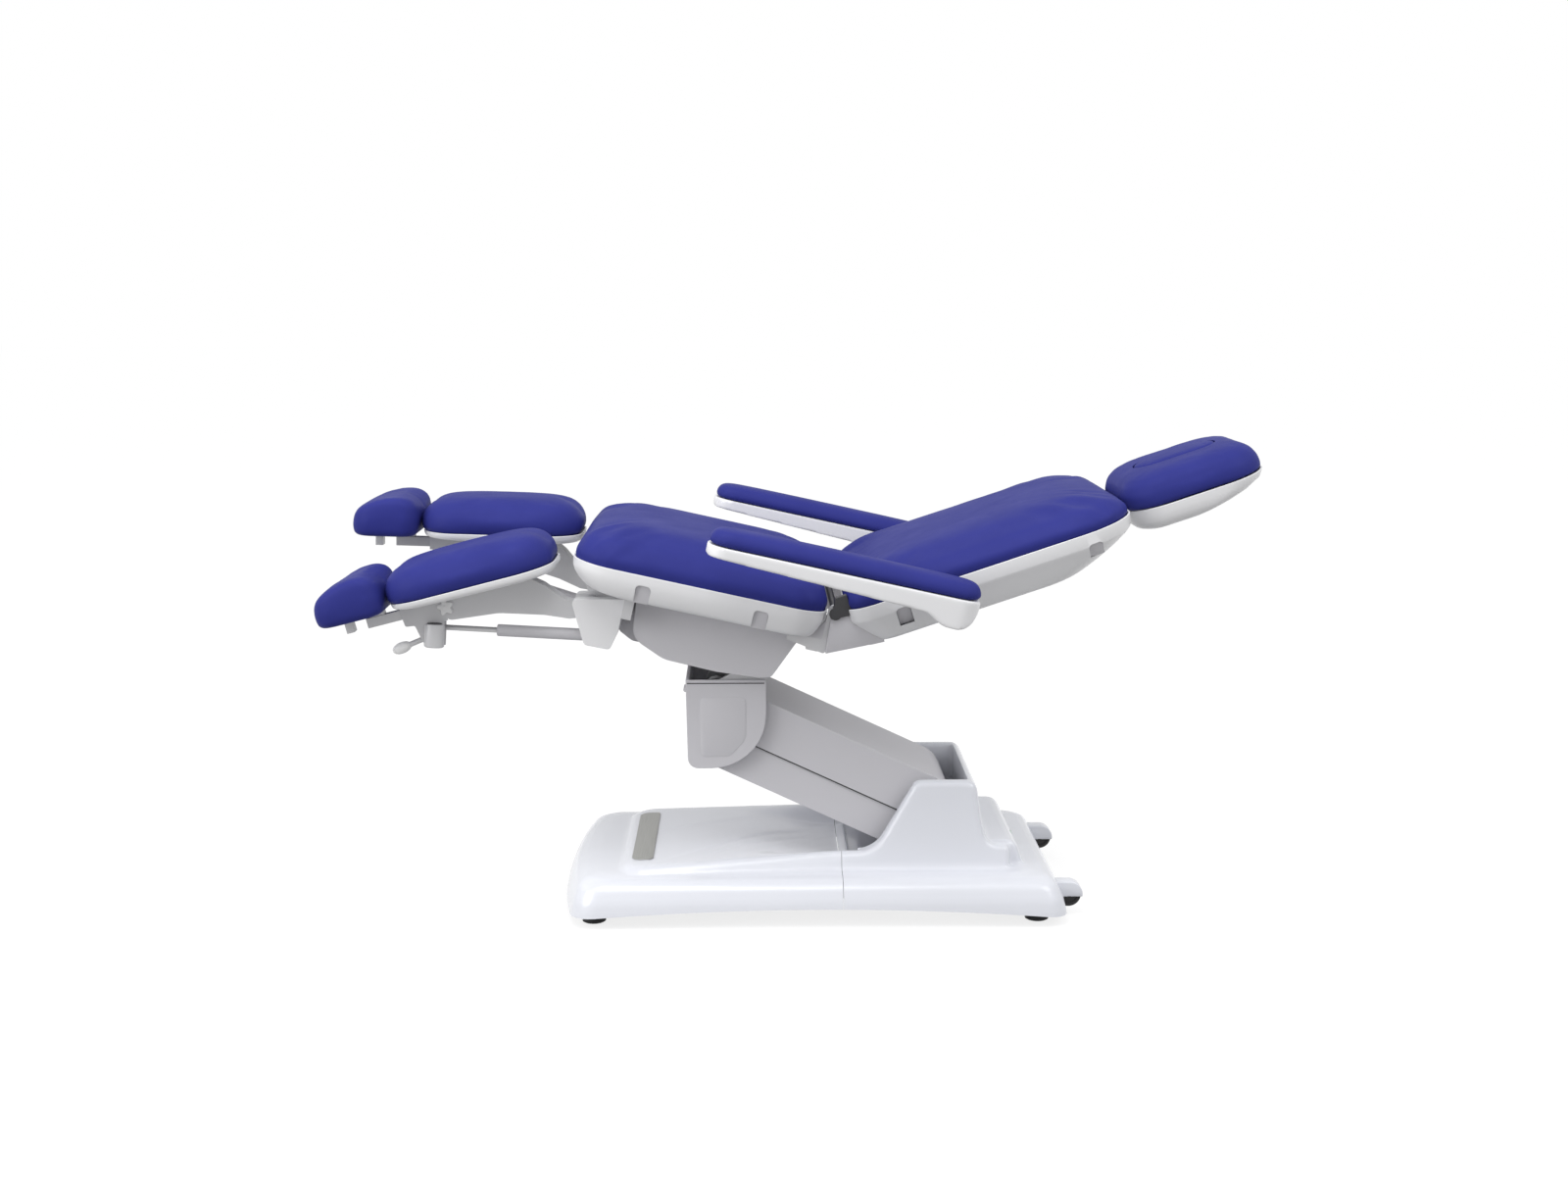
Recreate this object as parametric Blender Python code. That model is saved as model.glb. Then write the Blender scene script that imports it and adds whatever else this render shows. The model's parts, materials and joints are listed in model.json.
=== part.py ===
"""Motorised treatment chair: lift base, tilting seat, reclining back and two leg rests.

Metres, +Z up. -X is the foot end, +X the head end. The origin is on the floor under the
middle of the chair's box. Each moving group hangs on an empty that sits on its joint's axis.
"""
import math

import bmesh
import bpy
from mathutils import Matrix, Vector

# Clearances and walls
GAP = 0.0003
RUN = 0.0004
WALL = 0.004
SHEET = 0.003

# Base
BASE_X = 0.0393
BASE_LENGTH = 1.0
BASE_END = BASE_LENGTH / 2
BASE_HALF_WIDTH = 0.280
BASE_BULGE = 0.030
BASE_NOSE = 0.012
BASE_FLARE = 0.012
BASE_CORNER = 0.060
SKIRT_LOW = 0.014
SKIRT_ARCH = 0.028
FLARE_Z = 0.050
SHOULDER_Z = 0.078
DECK_Z = 0.094
SEAM_X = BASE_END - 0.446
PLATEAU_FRONT = 0.108 - BASE_END
PLATEAU_HALF_WIDTH = BASE_HALF_WIDTH - 0.084
PLATEAU_Z = 0.118
PLATEAU_RISE = 0.012
TOWER_TOP_Z = 0.274
TOWER_FRONT_TOP = BASE_END - 0.293
TOWER_REAR_TOP = BASE_END - 0.176
TOWER_HALF_WIDTH = 0.1985
TOWER_TAPER = 0.024
SLOT_FRONT = SEAM_X + 0.021
SLOT_HALF_WIDTH = 0.150
HUMP_Z = 0.148
HUMP_REAR = BASE_END - 0.066
HUMP_HALF_WIDTH = 0.172
HUMP_SLANT = 0.020
HUMP_ROUND = 0.022
RAIL_Y = BASE_HALF_WIDTH - 0.065
RAIL_HALF = 0.018
RAIL_LOW = 0.046
RAIL_FRONT = BASE_END - 0.063
RAIL_REAR = BASE_END - 0.045
FOOT_X = BASE_END - 0.048
FOOT_Y = BASE_HALF_WIDTH - 0.054
FOOT_RADIUS = 0.024
FOOT_HEIGHT = 0.013
STEM_RADIUS = 0.006
WHEEL_X = BASE_END + 0.020
WHEEL_Y = BASE_HALF_WIDTH - 0.080
WHEEL_Z = 0.044
WHEEL_RADIUS = 0.026
WHEEL_WIDTH = 0.022
AXLE_RADIUS = 0.004
PLATE_X = PLATEAU_FRONT + 0.036
PLATE_LENGTH = 0.044
PLATE_HALF_WIDTH = PLATEAU_HALF_WIDTH - 0.026
PLATE_THICK = 0.0025
PANEL_SHARE = 0.57
PANEL_LENGTH = 0.048
PANEL_HEIGHT = 0.030
SWITCH_LENGTH = 0.014
SWITCH_HEIGHT = 0.010

# Lift: two parallel links between the base pivots and the head pivots
LIFT_ANGLE = 25.0
LIFT_LENGTH = 0.480
LINK_GAP = 0.105
LIFT_X = BASE_END - 0.270
LIFT_UPPER_Z = 0.232
SHAFT_RADIUS = 0.011
CHEEK_INNER = 0.134
CHEEK_THICK = 0.008
COVER_HALF_WIDTH = 0.130
COVER_ABOVE = 0.0446
COVER_BELOW = 0.0508
COVER_END = 0.060
CHANNEL_BELOW = 0.031
CHANNEL_ABOVE = 0.0555
BEAM_OUTER = 0.112
BEAM_INNER = 0.072
BEAM_HALF = 0.024
ACTUATOR_RADIUS = 0.027
ROD_RADIUS = 0.010

# Head of the lift, in a frame on the upper head pivot
HEAD_LEFT = -0.060
HEAD_RIGHT = 0.105
HEAD_TOP = 0.049
HEAD_BOTTOM = -0.137
HEAD_ARC = 0.112
HEAD_CORNER = 0.022
HEAD_HALF_WIDTH = 0.150
TILT_X = 0.095
TILT_Z = 0.065
TILT_SHAFT = 0.012
HORN = 0.070
HORN_PIN = 0.006

# Seat, in a frame on the tilt axis
SEAT_ANGLE = 12.5
SEAT_FRONT = -0.418
SEAT_REAR = 0.098
SEAT_HALF_WIDTH = 0.290
SEAT_FRONT_CORNER = 0.085
SEAT_REAR_CORNER = 0.070
SEAT_TRAY_LOW = 0.109
SEAT_TRAY_TOP = 0.166
SEAT_CUSHION_LOW = 0.148
SEAT_CUSHION_TOP = 0.236
BELLY_HALF_WIDTH = 0.182
BEAM_FRONT = -0.300
BEAM_DEPTH = 0.0195
SEAT_RAIL_LOW = 0.064
HANGER_Y = 0.104
HANGER_THICK = 0.010
TILT_ROD = 0.008
BACK_LEVER = 0.090
BACK_LEVER_LEAN = 6.0
LEVER_Y = 0.060
BACK_ROD_Y = 0.048
HINGE_X = 0.113
HINGE_Z = 0.166
HINGE_PIN = 0.007
HINGE_BOSS = 0.0145
EAR_Y = SEAT_HALF_WIDTH - 0.066
EAR_THICK = 0.012

# Backrest, in a frame on its hinge
BACK_ANGLE = -18.5
BACK_FRONT = 0.022
BACK_END = 0.630
BACK_HALF_WIDTH = SEAT_HALF_WIDTH
BACK_FRONT_CORNER = 0.060
BACK_END_CORNER = 0.110
BACK_TRAY_LOW = -0.074
BACK_TRAY_TOP = 0.0
BACK_CUSHION_LOW = -0.008
BACK_CUSHION_TOP = 0.060
RAIL_BACK_END = BACK_END - 0.125
ARM_PIVOT_X = 0.230
ARM_PIVOT_Z = -0.038
ARM_SHAFT = 0.010
ARM_Y = BACK_HALF_WIDTH + 0.093
ARM_SHAFT_END = ARM_Y + 0.037
ARM_HALF_WIDTH = 0.050
ARM_FRONT = -0.495
ARM_REAR = 0.036
ARM_LOW = -0.016
ARM_PARTING = 0.021
ARM_TOP = 0.055
KNUCKLE_RADIUS = 0.036
POST_Y = 0.062
POST_Z = -0.022
POST_RADIUS = 0.007
SOCKET_RADIUS = 0.0115
SOCKET_START = BACK_END - 0.220
SOCKET_END = BACK_END - 0.070
HEADREST_PIVOT_X = 0.680
HEADREST_FRONT = 0.638
HEADREST_END = 0.922
HEADREST_HALF_WIDTH = 0.165
HEADREST_LOW = -0.064
HEADREST_RIM = -0.010
HEADREST_TOP = 0.050
PLUG_X = 0.772
PLUG_LENGTH = 0.178
PLUG_HALF_WIDTH = 0.046

# Leg rests, each in a frame on its pivot
LEG_Y = 0.150
LEG_PIVOT_X = -0.366
LEG_PIVOT_Z = 0.062
LEG_ANGLES = {"near": -14.4, "far": 1.8}
LEG_SIDES = {"near": -1.0, "far": 1.0}
LEG_SHAFT = 0.009
LEG_HALF_THICK = 0.020
LEG_TRAY_LOW = 0.094
LEG_TRAY_TOP = 0.118
LEG_CUSHION_TOP = 0.182
LEG_FOOT_END = -0.378
LEG_SEAT_END = -0.040
LEG_HALF_WIDTH = 0.124
CAST_HALF_WIDTH = 0.052
ANCHOR_X = -0.339
ANCHOR_Z = 0.004
ANCHOR_SHAFT = 0.005
SPRING_END_X = -0.293
SPRING_END_Z = 0.029
SPRING_RADIUS = 0.0115
SPRING_ROD = 0.004
BAR_LOW = 0.068
BAR_SIDE = 0.020
BAR_END = -0.446
BAR_INNER_END = -0.190
KNOB_POINTS = 20
KNOB_X = -0.283
KNOB_Z = 0.073
CYLINDER_LENGTH = 0.205
LEVER_DROP = -0.021
LEVER_LEAN = -16.0
FOOT_PAD_END = -0.522
FOOT_PAD_INNER = -0.394
FOOT_PAD_HALF_WIDTH = 0.118
FOOT_PAD_LOW = 0.112
FOOT_PAD_TOP = 0.194
FOOT_PAD_TIP = 0.150

ARC_STEPS = 4
ROUND = 16


def clear_scene():
    for item in list(bpy.data.objects):
        bpy.data.objects.remove(item, do_unlink=True)


def material(name, colour, roughness, metallic=0.0):
    made = bpy.data.materials.get(name)
    if made:
        return made
    made = bpy.data.materials.new(name)
    made.use_nodes = True
    shader = made.node_tree.nodes["Principled BSDF"]
    shader.inputs["Base Color"].default_value = (*colour, 1.0)
    shader.inputs["Roughness"].default_value = roughness
    shader.inputs["Metallic"].default_value = metallic
    return made


def finish(name):
    finishes = {
        "vinyl": ((0.060, 0.065, 0.290), 0.42, 0.0),
        "shell": ((0.800, 0.800, 0.815), 0.30, 0.0),
        "cover": ((0.440, 0.435, 0.460), 0.45, 0.0),
        "gloss": ((0.810, 0.820, 0.870), 0.12, 0.0),
        "steel": ((0.420, 0.420, 0.430), 0.35, 1.0),
        "paint": ((0.560, 0.560, 0.570), 0.40, 0.0),
        "plate": ((0.390, 0.390, 0.370), 0.35, 1.0),
        "black": ((0.012, 0.012, 0.013), 0.55, 0.0),
        "dark": ((0.020, 0.020, 0.022), 0.40, 0.6),
        "green": ((0.020, 0.300, 0.080), 0.25, 0.0),
    }
    return material(name, *finishes[name])


def frame(name, parent, place, pitch=0.0):
    empty = bpy.data.objects.new(name, None)
    bpy.context.scene.collection.objects.link(empty)
    empty.parent = parent
    empty.location = place
    empty.rotation_euler = (0.0, math.radians(pitch), 0.0)
    return empty


def add(name, bm, look, parent=None):
    mesh = bpy.data.meshes.new(name)
    bm.to_mesh(mesh)
    bm.free()
    mesh.shade_smooth()
    mesh.set_sharp_from_angle(angle=math.radians(38.0))
    mesh.materials.append(finish(look))
    item = bpy.data.objects.new(name, mesh)
    bpy.context.scene.collection.objects.link(item)
    item.parent = parent
    return item


def boolean(item, bm, operation, solver="EXACT"):
    """Cut or join a mesh in the item's own frame and keep the result as its mesh."""
    tool = add(item.name + "_tool", bm, "steel")
    parent = item.parent
    item.parent = None
    change = item.modifiers.new("change", "BOOLEAN")
    change.operation = operation
    change.solver = solver
    change.object = tool
    view = bpy.context.view_layer
    view.update()
    graph = bpy.context.evaluated_depsgraph_get()
    result = bpy.data.meshes.new_from_object(item.evaluated_get(graph))
    item.modifiers.remove(change)
    item.data = result
    item.parent = parent
    bpy.data.objects.remove(tool, do_unlink=True)
    return item


def mesh_of(item):
    """Take an item's mesh for use in another and remove the item."""
    bm = bmesh.new()
    bm.from_mesh(item.data)
    bpy.data.objects.remove(item, do_unlink=True)
    return bm


def cut(item, *shapes, solver="EXACT"):
    for bm in shapes:
        boolean(item, bm, "DIFFERENCE", solver)
    return item


def fuse(item, *shapes, solver="EXACT"):
    for bm in shapes:
        boolean(item, bm, "UNION", solver)
    return item


def loft(rings):
    """Bridge closed loops of equal count and cap both ends."""
    bm = bmesh.new()
    loops = [[bm.verts.new(point) for point in ring] for ring in rings]
    count = len(loops[0])
    for low, high in zip(loops, loops[1:]):
        for i in range(count):
            j = (i + 1) % count
            bm.faces.new((low[i], low[j], high[j], high[i]))
    bm.faces.new(list(reversed(loops[0])))
    bm.faces.new(loops[-1])
    bmesh.ops.recalc_face_normals(bm, faces=bm.faces)
    return bm


def prism(outline, y0, y1):
    """Extrude an outline of (x, z) points across the chair."""
    return loft([[(x, y0, z) for x, z in outline], [(x, y1, z) for x, z in outline]])


def box(x0, x1, y0, y1, z0, z1):
    return prism([(x0, z0), (x1, z0), (x1, z1), (x0, z1)], y0, y1)


def rod(start, end, radius, sides=ROUND, end_radius=None):
    start = Vector(start)
    end = Vector(end)
    along = end - start
    turn = along.to_track_quat("Z", "Y").to_matrix().to_4x4()
    place = Matrix.Translation((start + end) / 2) @ turn
    bm = bmesh.new()
    bmesh.ops.create_cone(bm, cap_ends=True, segments=sides, radius1=radius,
                          radius2=radius if end_radius is None else end_radius,
                          depth=along.length, matrix=place)
    return bm


def across(x, z, radius, half, sides=12, middle=0.0):
    """A round bar along Y."""
    return rod((x, middle - half, z), (x, middle + half, z), radius, sides)


def hole(x, z, shaft, half=0.5, sides=12, middle=0.0):
    """A cutter along Y whose flats clear a round shaft at any angle."""
    return across(x, z, (shaft + GAP) / math.cos(math.pi / sides), half, sides, middle)


def filleted(corners, steps=ARC_STEPS):
    """Round the corners of an outline: each corner is (a, b, radius), limited by its edges."""
    count = len(corners)
    spots = [Vector(corner[:2]) for corner in corners]
    backs = [(spots[i - 1] - spots[i]).normalized() for i in range(count)]
    aheads = [(spots[(i + 1) % count] - spots[i]).normalized() for i in range(count)]
    halves = [backs[i].angle(aheads[i]) / 2 for i in range(count)]
    reaches = [corners[i][2] / math.tan(halves[i]) for i in range(count)]
    for i in range(count):
        j = (i + 1) % count
        room = (spots[j] - spots[i]).length * 0.98
        needed = reaches[i] + reaches[j]
        if needed > room:
            reaches[i] *= room / needed
            reaches[j] *= room / needed
    points = []
    for here, back, ahead, half, reach in zip(spots, backs, aheads, halves, reaches):
        if reach == 0.0:
            points.append(tuple(here))
            continue
        start = here + back * reach
        middle = here + (back + ahead).normalized() * (reach / math.cos(half))
        sweep = math.pi - 2 * half
        side = 1.0 if back.x * ahead.y - back.y * ahead.x < 0 else -1.0
        for k in range(steps + 1):
            turned_by = Matrix.Rotation(side * sweep * k / steps, 2)
            points.append(tuple(middle + turned_by @ (start - middle)))
    return points


def plan(x0, x1, half, front, rear, inset=0.0, draw=0.0, sides=3, steps=ARC_STEPS):
    """A pad's plan: round corners, and sides drawn in between them."""
    a = x0 + inset
    b = x1 - inset
    w = half - inset
    f = max(front - inset, 0.004)
    r = max(rear - inset, 0.004)
    points = []
    corners = ((a + f, -w + f, f, 180.0), (b - r, -w + r, r, 270.0),
               (b - r, w - r, r, 0.0), (a + f, w - f, f, 90.0))
    for index, (cx, cy, radius, start) in enumerate(corners):
        for k in range(steps + 1):
            angle = math.radians(start + 90.0 * k / steps)
            points.append((cx + radius * math.cos(angle), cy + radius * math.sin(angle)))
        nx, ny, nr, nstart = corners[(index + 1) % 4]
        angle = math.radians(nstart)
        target = (nx + nr * math.cos(angle), ny + nr * math.sin(angle))
        last = points[-1]
        normal = math.radians(start + 90.0)
        for k in range(1, sides):
            t = k / sides
            pull = draw * 4 * t * (1 - t)
            points.append((last[0] + (target[0] - last[0]) * t - pull * math.cos(normal),
                           last[1] + (target[1] - last[1]) * t - pull * math.sin(normal)))
    return points


def level(points, z):
    """Lift a plan to a height, which is a number or a rule of x and y."""
    if callable(z):
        return [(x, y, z(x, y)) for x, y in points]
    return [(x, y, z) for x, y in points]


def turned(profile, sides=ROUND):
    """A round piece on the Z axis from (radius, z) pairs, low to high."""
    rings = []
    for radius, z in profile:
        turns = [2 * math.pi * k / sides for k in range(sides)]
        rings.append([(radius * math.cos(a), radius * math.sin(a), z) for a in turns])
    return loft(rings)


def moved(bm, place=(0.0, 0.0, 0.0), turn=None):
    matrix = Matrix.Translation(place)
    if turn is not None:
        matrix = matrix @ Matrix.Rotation(math.radians(turn[0]), 4, turn[1])
    bmesh.ops.transform(bm, matrix=matrix, verts=bm.verts)
    return bm


# Base: chassis, moulded covers, feet and wheels

PLATEAU_SLOPE = PLATEAU_RISE / (SEAM_X - PLATEAU_FRONT + 0.004)
RAIL_HIGH = DECK_Z - WALL - GAP
FOOT_SEAT = RAIL_LOW - 0.001
HUMP_LOW = DECK_Z - WALL * 0.7
HUMP_LEAN = -math.degrees(math.atan2(HUMP_SLANT, HUMP_Z - HUMP_LOW))


def plateau_top(x, y):
    return PLATEAU_Z + PLATEAU_SLOPE * (x - PLATEAU_FRONT)


def skirt_edge(x, y):
    return SKIRT_LOW + SKIRT_ARCH * (1 - (2 * x / BASE_LENGTH) ** 2)


def base_plan(inset):
    points = plan(-BASE_LENGTH / 2 - BASE_NOSE + BASE_BULGE, BASE_LENGTH / 2, BASE_HALF_WIDTH,
                  BASE_CORNER, BASE_CORNER, inset, sides=8)
    bowed = []
    for x, y in points:
        at_front = min(max((-x - BASE_LENGTH / 4) * 8 / BASE_LENGTH, 0.0), 1.0)
        bowed.append((x - BASE_BULGE * at_front * (1 - (y / BASE_HALF_WIDTH) ** 2), y))
    return bowed


def deck_form():
    return loft([level(base_plan(-BASE_FLARE), skirt_edge), level(base_plan(-BASE_FLARE / 3), FLARE_Z),
                 level(base_plan(0.003), SHOULDER_Z - 0.012), level(base_plan(0.010), SHOULDER_Z),
                 level(base_plan(0.034), DECK_Z)])


def deck_hollow():
    return loft([level(base_plan(WALL - BASE_FLARE), -0.02),
                 level(base_plan(WALL - BASE_FLARE / 3), FLARE_Z),
                 level(base_plan(0.010 + WALL), SHOULDER_Z - WALL),
                 level(base_plan(0.036), DECK_Z - WALL)])


def plateau_plan(inset):
    return plan(PLATEAU_FRONT, HUMP_REAR - 0.03, PLATEAU_HALF_WIDTH, 0.05, 0.05, inset)


def plateau_form():
    low = DECK_Z - WALL / 2
    return loft([level(plateau_plan(0.0), low),
                 level(plateau_plan(0.010), lambda x, y: plateau_top(x, y) - 0.008),
                 level(plateau_plan(0.022), plateau_top)])


def plateau_hollow():
    return loft([level(plateau_plan(0.022), 0.0),
                 level(plateau_plan(0.027), lambda x, y: plateau_top(x, y) - WALL)])


def tower_form():
    outline = filleted([(SEAM_X + 0.004, DECK_Z - WALL * 0.6, 0.0), (SEAM_X + 0.004, 0.1285, 0.0),
                        (SEAM_X + 0.068, 0.1300, 0.055), (TOWER_FRONT_TOP, TOWER_TOP_Z, 0.014),
                        (TOWER_REAR_TOP, TOWER_TOP_Z, 0.010),
                        (TOWER_REAR_TOP + 0.019, HUMP_Z - 0.004, 0.030),
                        (HUMP_REAR - 0.034, HUMP_Z - 0.006, 0.0),
                        (HUMP_REAR - 0.034, DECK_Z - WALL * 0.6, 0.0)])
    height = TOWER_TOP_Z - DECK_Z

    def half(z):
        return TOWER_HALF_WIDTH - TOWER_TAPER * (z - DECK_Z) / height

    return loft([[(x, -half(z), z) for x, z in outline], [(x, half(z), z) for x, z in outline]])


def panel_place():
    """Middle of the mains panel, on the sloping rear face of the hump."""
    x = HUMP_REAR - HUMP_SLANT * (1 - PANEL_SHARE)
    return (x, 0.0, HUMP_Z - (HUMP_Z - HUMP_LOW) * PANEL_SHARE)


def hump_form():
    front = TOWER_REAR_TOP - 0.024
    outline = filleted([(front, HUMP_LOW, 0.0), (front, HUMP_Z, 0.0),
                        (HUMP_REAR - HUMP_SLANT, HUMP_Z, HUMP_ROUND), (HUMP_REAR, HUMP_LOW, 0.0)])
    return prism(outline, -HUMP_HALF_WIDTH, HUMP_HALF_WIDTH)


def slot_hollow():
    return box(SLOT_FRONT, TOWER_REAR_TOP - 2 * WALL, -SLOT_HALF_WIDTH, SLOT_HALF_WIDTH, -0.02, 0.4)


def front_base_cover(chair):
    item = add("front_base_cover", deck_form(), "gloss", chair)
    fuse(item, plateau_form())
    cut(item, deck_hollow(), plateau_hollow(),
        box(SEAM_X - GAP / 2, 1.0, -1.0, 1.0, -1.0, 1.0))


def wheel_housing(side):
    y = side * WHEEL_Y
    return [across(WHEEL_X, WHEEL_Z, WHEEL_RADIUS + 0.0075, 0.018, middle=y),
            box(WHEEL_X - 0.040, WHEEL_X, y - 0.0175, y + 0.0175, WHEEL_Z - 0.0065, WHEEL_Z + 0.0300)]


def wheel_hollow(side):
    y = side * WHEEL_Y
    return [across(WHEEL_X, WHEEL_Z, WHEEL_RADIUS + 0.002, WHEEL_WIDTH / 2 + 0.001, middle=y),
            box(WHEEL_X - 0.016, WHEEL_X + 0.080, y - 0.03, y + 0.03, -0.02, WHEEL_Z - 0.007),
            across(WHEEL_X, WHEEL_Z, AXLE_RADIUS + GAP, 0.0165, 12, middle=y)]


def rear_base_cover(chair):
    solver = "MANIFOLD"
    item = add("rear_base_cover", deck_form(), "gloss", chair)
    fuse(item, plateau_form(), tower_form(), hump_form(), solver=solver)
    cut(item, deck_hollow(), plateau_hollow(), slot_hollow(), solver=solver)
    for side in (-1.0, 1.0):
        fuse(item, *wheel_housing(side), solver=solver)
        cut(item, *wheel_hollow(side), solver=solver)
    half_y = PANEL_LENGTH / 2 + GAP
    half_z = PANEL_HEIGHT / 2 + GAP
    recess = moved(box(-WALL, 0.01, -half_y, half_y, -half_z, half_z), turn=(HUMP_LEAN, "Y"))
    cut(item, moved(recess, panel_place()), box(-1.0, SEAM_X + GAP / 2, -1.0, 1.0, -1.0, 1.0),
        solver=solver)


def base_frame(chair):
    reach = CHEEK_INNER + CHEEK_THICK
    item = add("base_frame", box(-RAIL_FRONT, RAIL_REAR, RAIL_Y - RAIL_HALF, RAIL_Y + RAIL_HALF,
                                 RAIL_LOW, RAIL_HIGH), "steel", chair)
    fuse(item, box(-RAIL_FRONT, RAIL_REAR, -RAIL_Y - RAIL_HALF, -RAIL_Y + RAIL_HALF, RAIL_LOW, RAIL_HIGH))
    for x in (-FOOT_X, FOOT_X):
        fuse(item, box(x - 0.013, x + 0.020, -FOOT_Y - 0.006, FOOT_Y + 0.006,
                       FOOT_SEAT, FOOT_SEAT + 0.015))
    fuse(item, box(LIFT_X - 0.060, LIFT_X + 0.070, -RAIL_Y, RAIL_Y, RAIL_LOW + 0.002, 0.066))
    cheek_top = LIFT_UPPER_Z + 0.026
    cheek = filleted([(LIFT_X - 0.048, 0.056, 0.0), (LIFT_X + 0.058, 0.056, 0.0),
                      (LIFT_X + 0.032, cheek_top, 0.02), (LIFT_X - 0.030, cheek_top, 0.02)])
    for side in (-1.0, 1.0):
        fuse(item, prism(cheek, side * CHEEK_INNER, side * reach))
    for z in (LIFT_UPPER_Z, LIFT_UPPER_Z - LINK_GAP):
        fuse(item, across(LIFT_X, z, SHAFT_RADIUS, reach - 0.001))


def feet_and_wheels(chair):
    for end, x in (("front", -FOOT_X), ("rear", FOOT_X)):
        for name, side in (("near", -1.0), ("far", 1.0)):
            profile = [(FOOT_RADIUS, 0.0), (FOOT_RADIUS, 0.005), (FOOT_RADIUS - 0.004, FOOT_HEIGHT),
                       (STEM_RADIUS, FOOT_HEIGHT), (STEM_RADIUS, FOOT_SEAT - GAP)]
            add(f"levelling_foot_{end}_{name}", moved(turned(profile, 14), (x, side * FOOT_Y, 0.0)),
                "black", chair)
    half = WHEEL_WIDTH / 2
    profile = [(AXLE_RADIUS, -0.016), (AXLE_RADIUS, -half), (WHEEL_RADIUS - 0.003, -half),
               (WHEEL_RADIUS, -half + 0.004), (WHEEL_RADIUS, half - 0.004),
               (WHEEL_RADIUS - 0.003, half), (AXLE_RADIUS, half), (AXLE_RADIUS, 0.016)]
    for name, side in (("near", -1.0), ("far", 1.0)):
        axis = frame(f"wheel_axis_{name}", chair, (WHEEL_X, side * WHEEL_Y, WHEEL_Z))
        add(f"transport_wheel_{name}", moved(turned(profile, 16), turn=(90.0, "X")), "black", axis)


def base_fittings(chair):
    slope = math.degrees(math.atan(PLATEAU_SLOPE))
    seat = frame("plate_seat", chair, (PLATE_X, 0.0, plateau_top(PLATE_X, 0.0) + GAP), -slope)
    outline = plan(-PLATE_LENGTH / 2, PLATE_LENGTH / 2, PLATE_HALF_WIDTH, 0.008, 0.008, sides=2)
    add("name_plate", loft([level(outline, 0.0), level(outline, PLATE_THICK)]), "plate", seat)
    mains = frame("panel_seat", chair, panel_place(), HUMP_LEAN)
    panel = add("power_panel", box(GAP - WALL, 0.0, -PANEL_LENGTH / 2, PANEL_LENGTH / 2, -PANEL_HEIGHT / 2,
                                   PANEL_HEIGHT / 2), "shell", mains)
    switch_y = SWITCH_LENGTH - PANEL_LENGTH / 2
    half = SWITCH_LENGTH / 2
    high = SWITCH_HEIGHT / 2
    cut(panel, box(-0.01, 0.01, switch_y - half - RUN, switch_y + half + RUN, -high - RUN, high + RUN),
        box(-0.0025, 0.01, 0.002, 0.018, -0.008, 0.008))
    hinge = frame("switch_axis", mains, (-0.002, switch_y, 0.0))
    rocker = [(0.0, -half), (0.0, half), (0.0032, half), (0.0046, 0.0), (0.0032, -half)]
    bm = loft([[(a, b, -high) for a, b in rocker], [(a, b, high) for a, b in rocker]])
    add("power_switch", bm, "green", hinge)


# Lift: parallel links, covers and screw drive

LIFT_TURN = math.radians(LIFT_ANGLE)
LIFT_LOWER_Z = LIFT_UPPER_Z - LINK_GAP
HEAD_X = LIFT_X - LIFT_LENGTH * math.cos(LIFT_TURN)
HEAD_Z = LIFT_UPPER_Z + LIFT_LENGTH * math.sin(LIFT_TURN)
DRIVE_LENGTH = math.hypot(LIFT_X - HEAD_X, HEAD_Z - LIFT_LOWER_Z)
DRIVE_ANGLE = math.degrees(math.atan2(HEAD_Z - LIFT_LOWER_Z, LIFT_X - HEAD_X))


def upper_lift_arm(axis):
    reach = BEAM_HALF
    rail = filleted([(-LIFT_LENGTH - reach, -reach, reach - 0.001), (reach, -reach, reach - 0.001),
                     (reach, reach, reach - 0.001), (-LIFT_LENGTH - reach, reach, reach - 0.001)])
    item = add("upper_lift_arm", prism(rail, BEAM_INNER, BEAM_OUTER), "steel", axis)
    fuse(item, prism(rail, -BEAM_OUTER, -BEAM_INNER),
         box(-0.150, -0.060, -BEAM_INNER - 0.01, BEAM_INNER + 0.01, 0.002, reach - 0.004))
    seat_top = COVER_ABOVE - SHEET - GAP
    for x in (-0.390, -0.110):
        for side in (-1.0, 1.0):
            edges = sorted((side * (BEAM_INNER + 0.003), side * (BEAM_OUTER - 0.003)))
            fuse(item, box(x - 0.015, x + 0.015, *edges, reach - 0.004, seat_top))
    cut(item, hole(0.0, 0.0, SHAFT_RADIUS), hole(-LIFT_LENGTH, 0.0, SHAFT_RADIUS))


def upper_arm_cover(axis):
    head_end = 0.010 - LIFT_LENGTH
    outer = filleted([(head_end, -COVER_BELOW, 0.0), (COVER_END, -COVER_BELOW, 0.020),
                      (COVER_END, COVER_ABOVE, 0.055), (head_end, COVER_ABOVE, 0.0)])
    item = add("upper_arm_cover", prism(outer, -COVER_HALF_WIDTH, COVER_HALF_WIDTH), "cover", axis)
    inner = filleted([(head_end - 0.1, -0.2, 0.0), (COVER_END - SHEET, -0.2, 0.0),
                      (COVER_END - SHEET, COVER_ABOVE - SHEET, 0.055 - SHEET),
                      (head_end - 0.1, COVER_ABOVE - SHEET, 0.0)])
    half = COVER_HALF_WIDTH - SHEET
    cut(item, prism(inner, -half, half), box(0.030, 0.2, -half, half, -0.2, -0.005))
    for x in (0.0, -LIFT_LENGTH):
        cut(item, across(x, 0.0, SHAFT_RADIUS + 0.002, 0.2))


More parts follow.
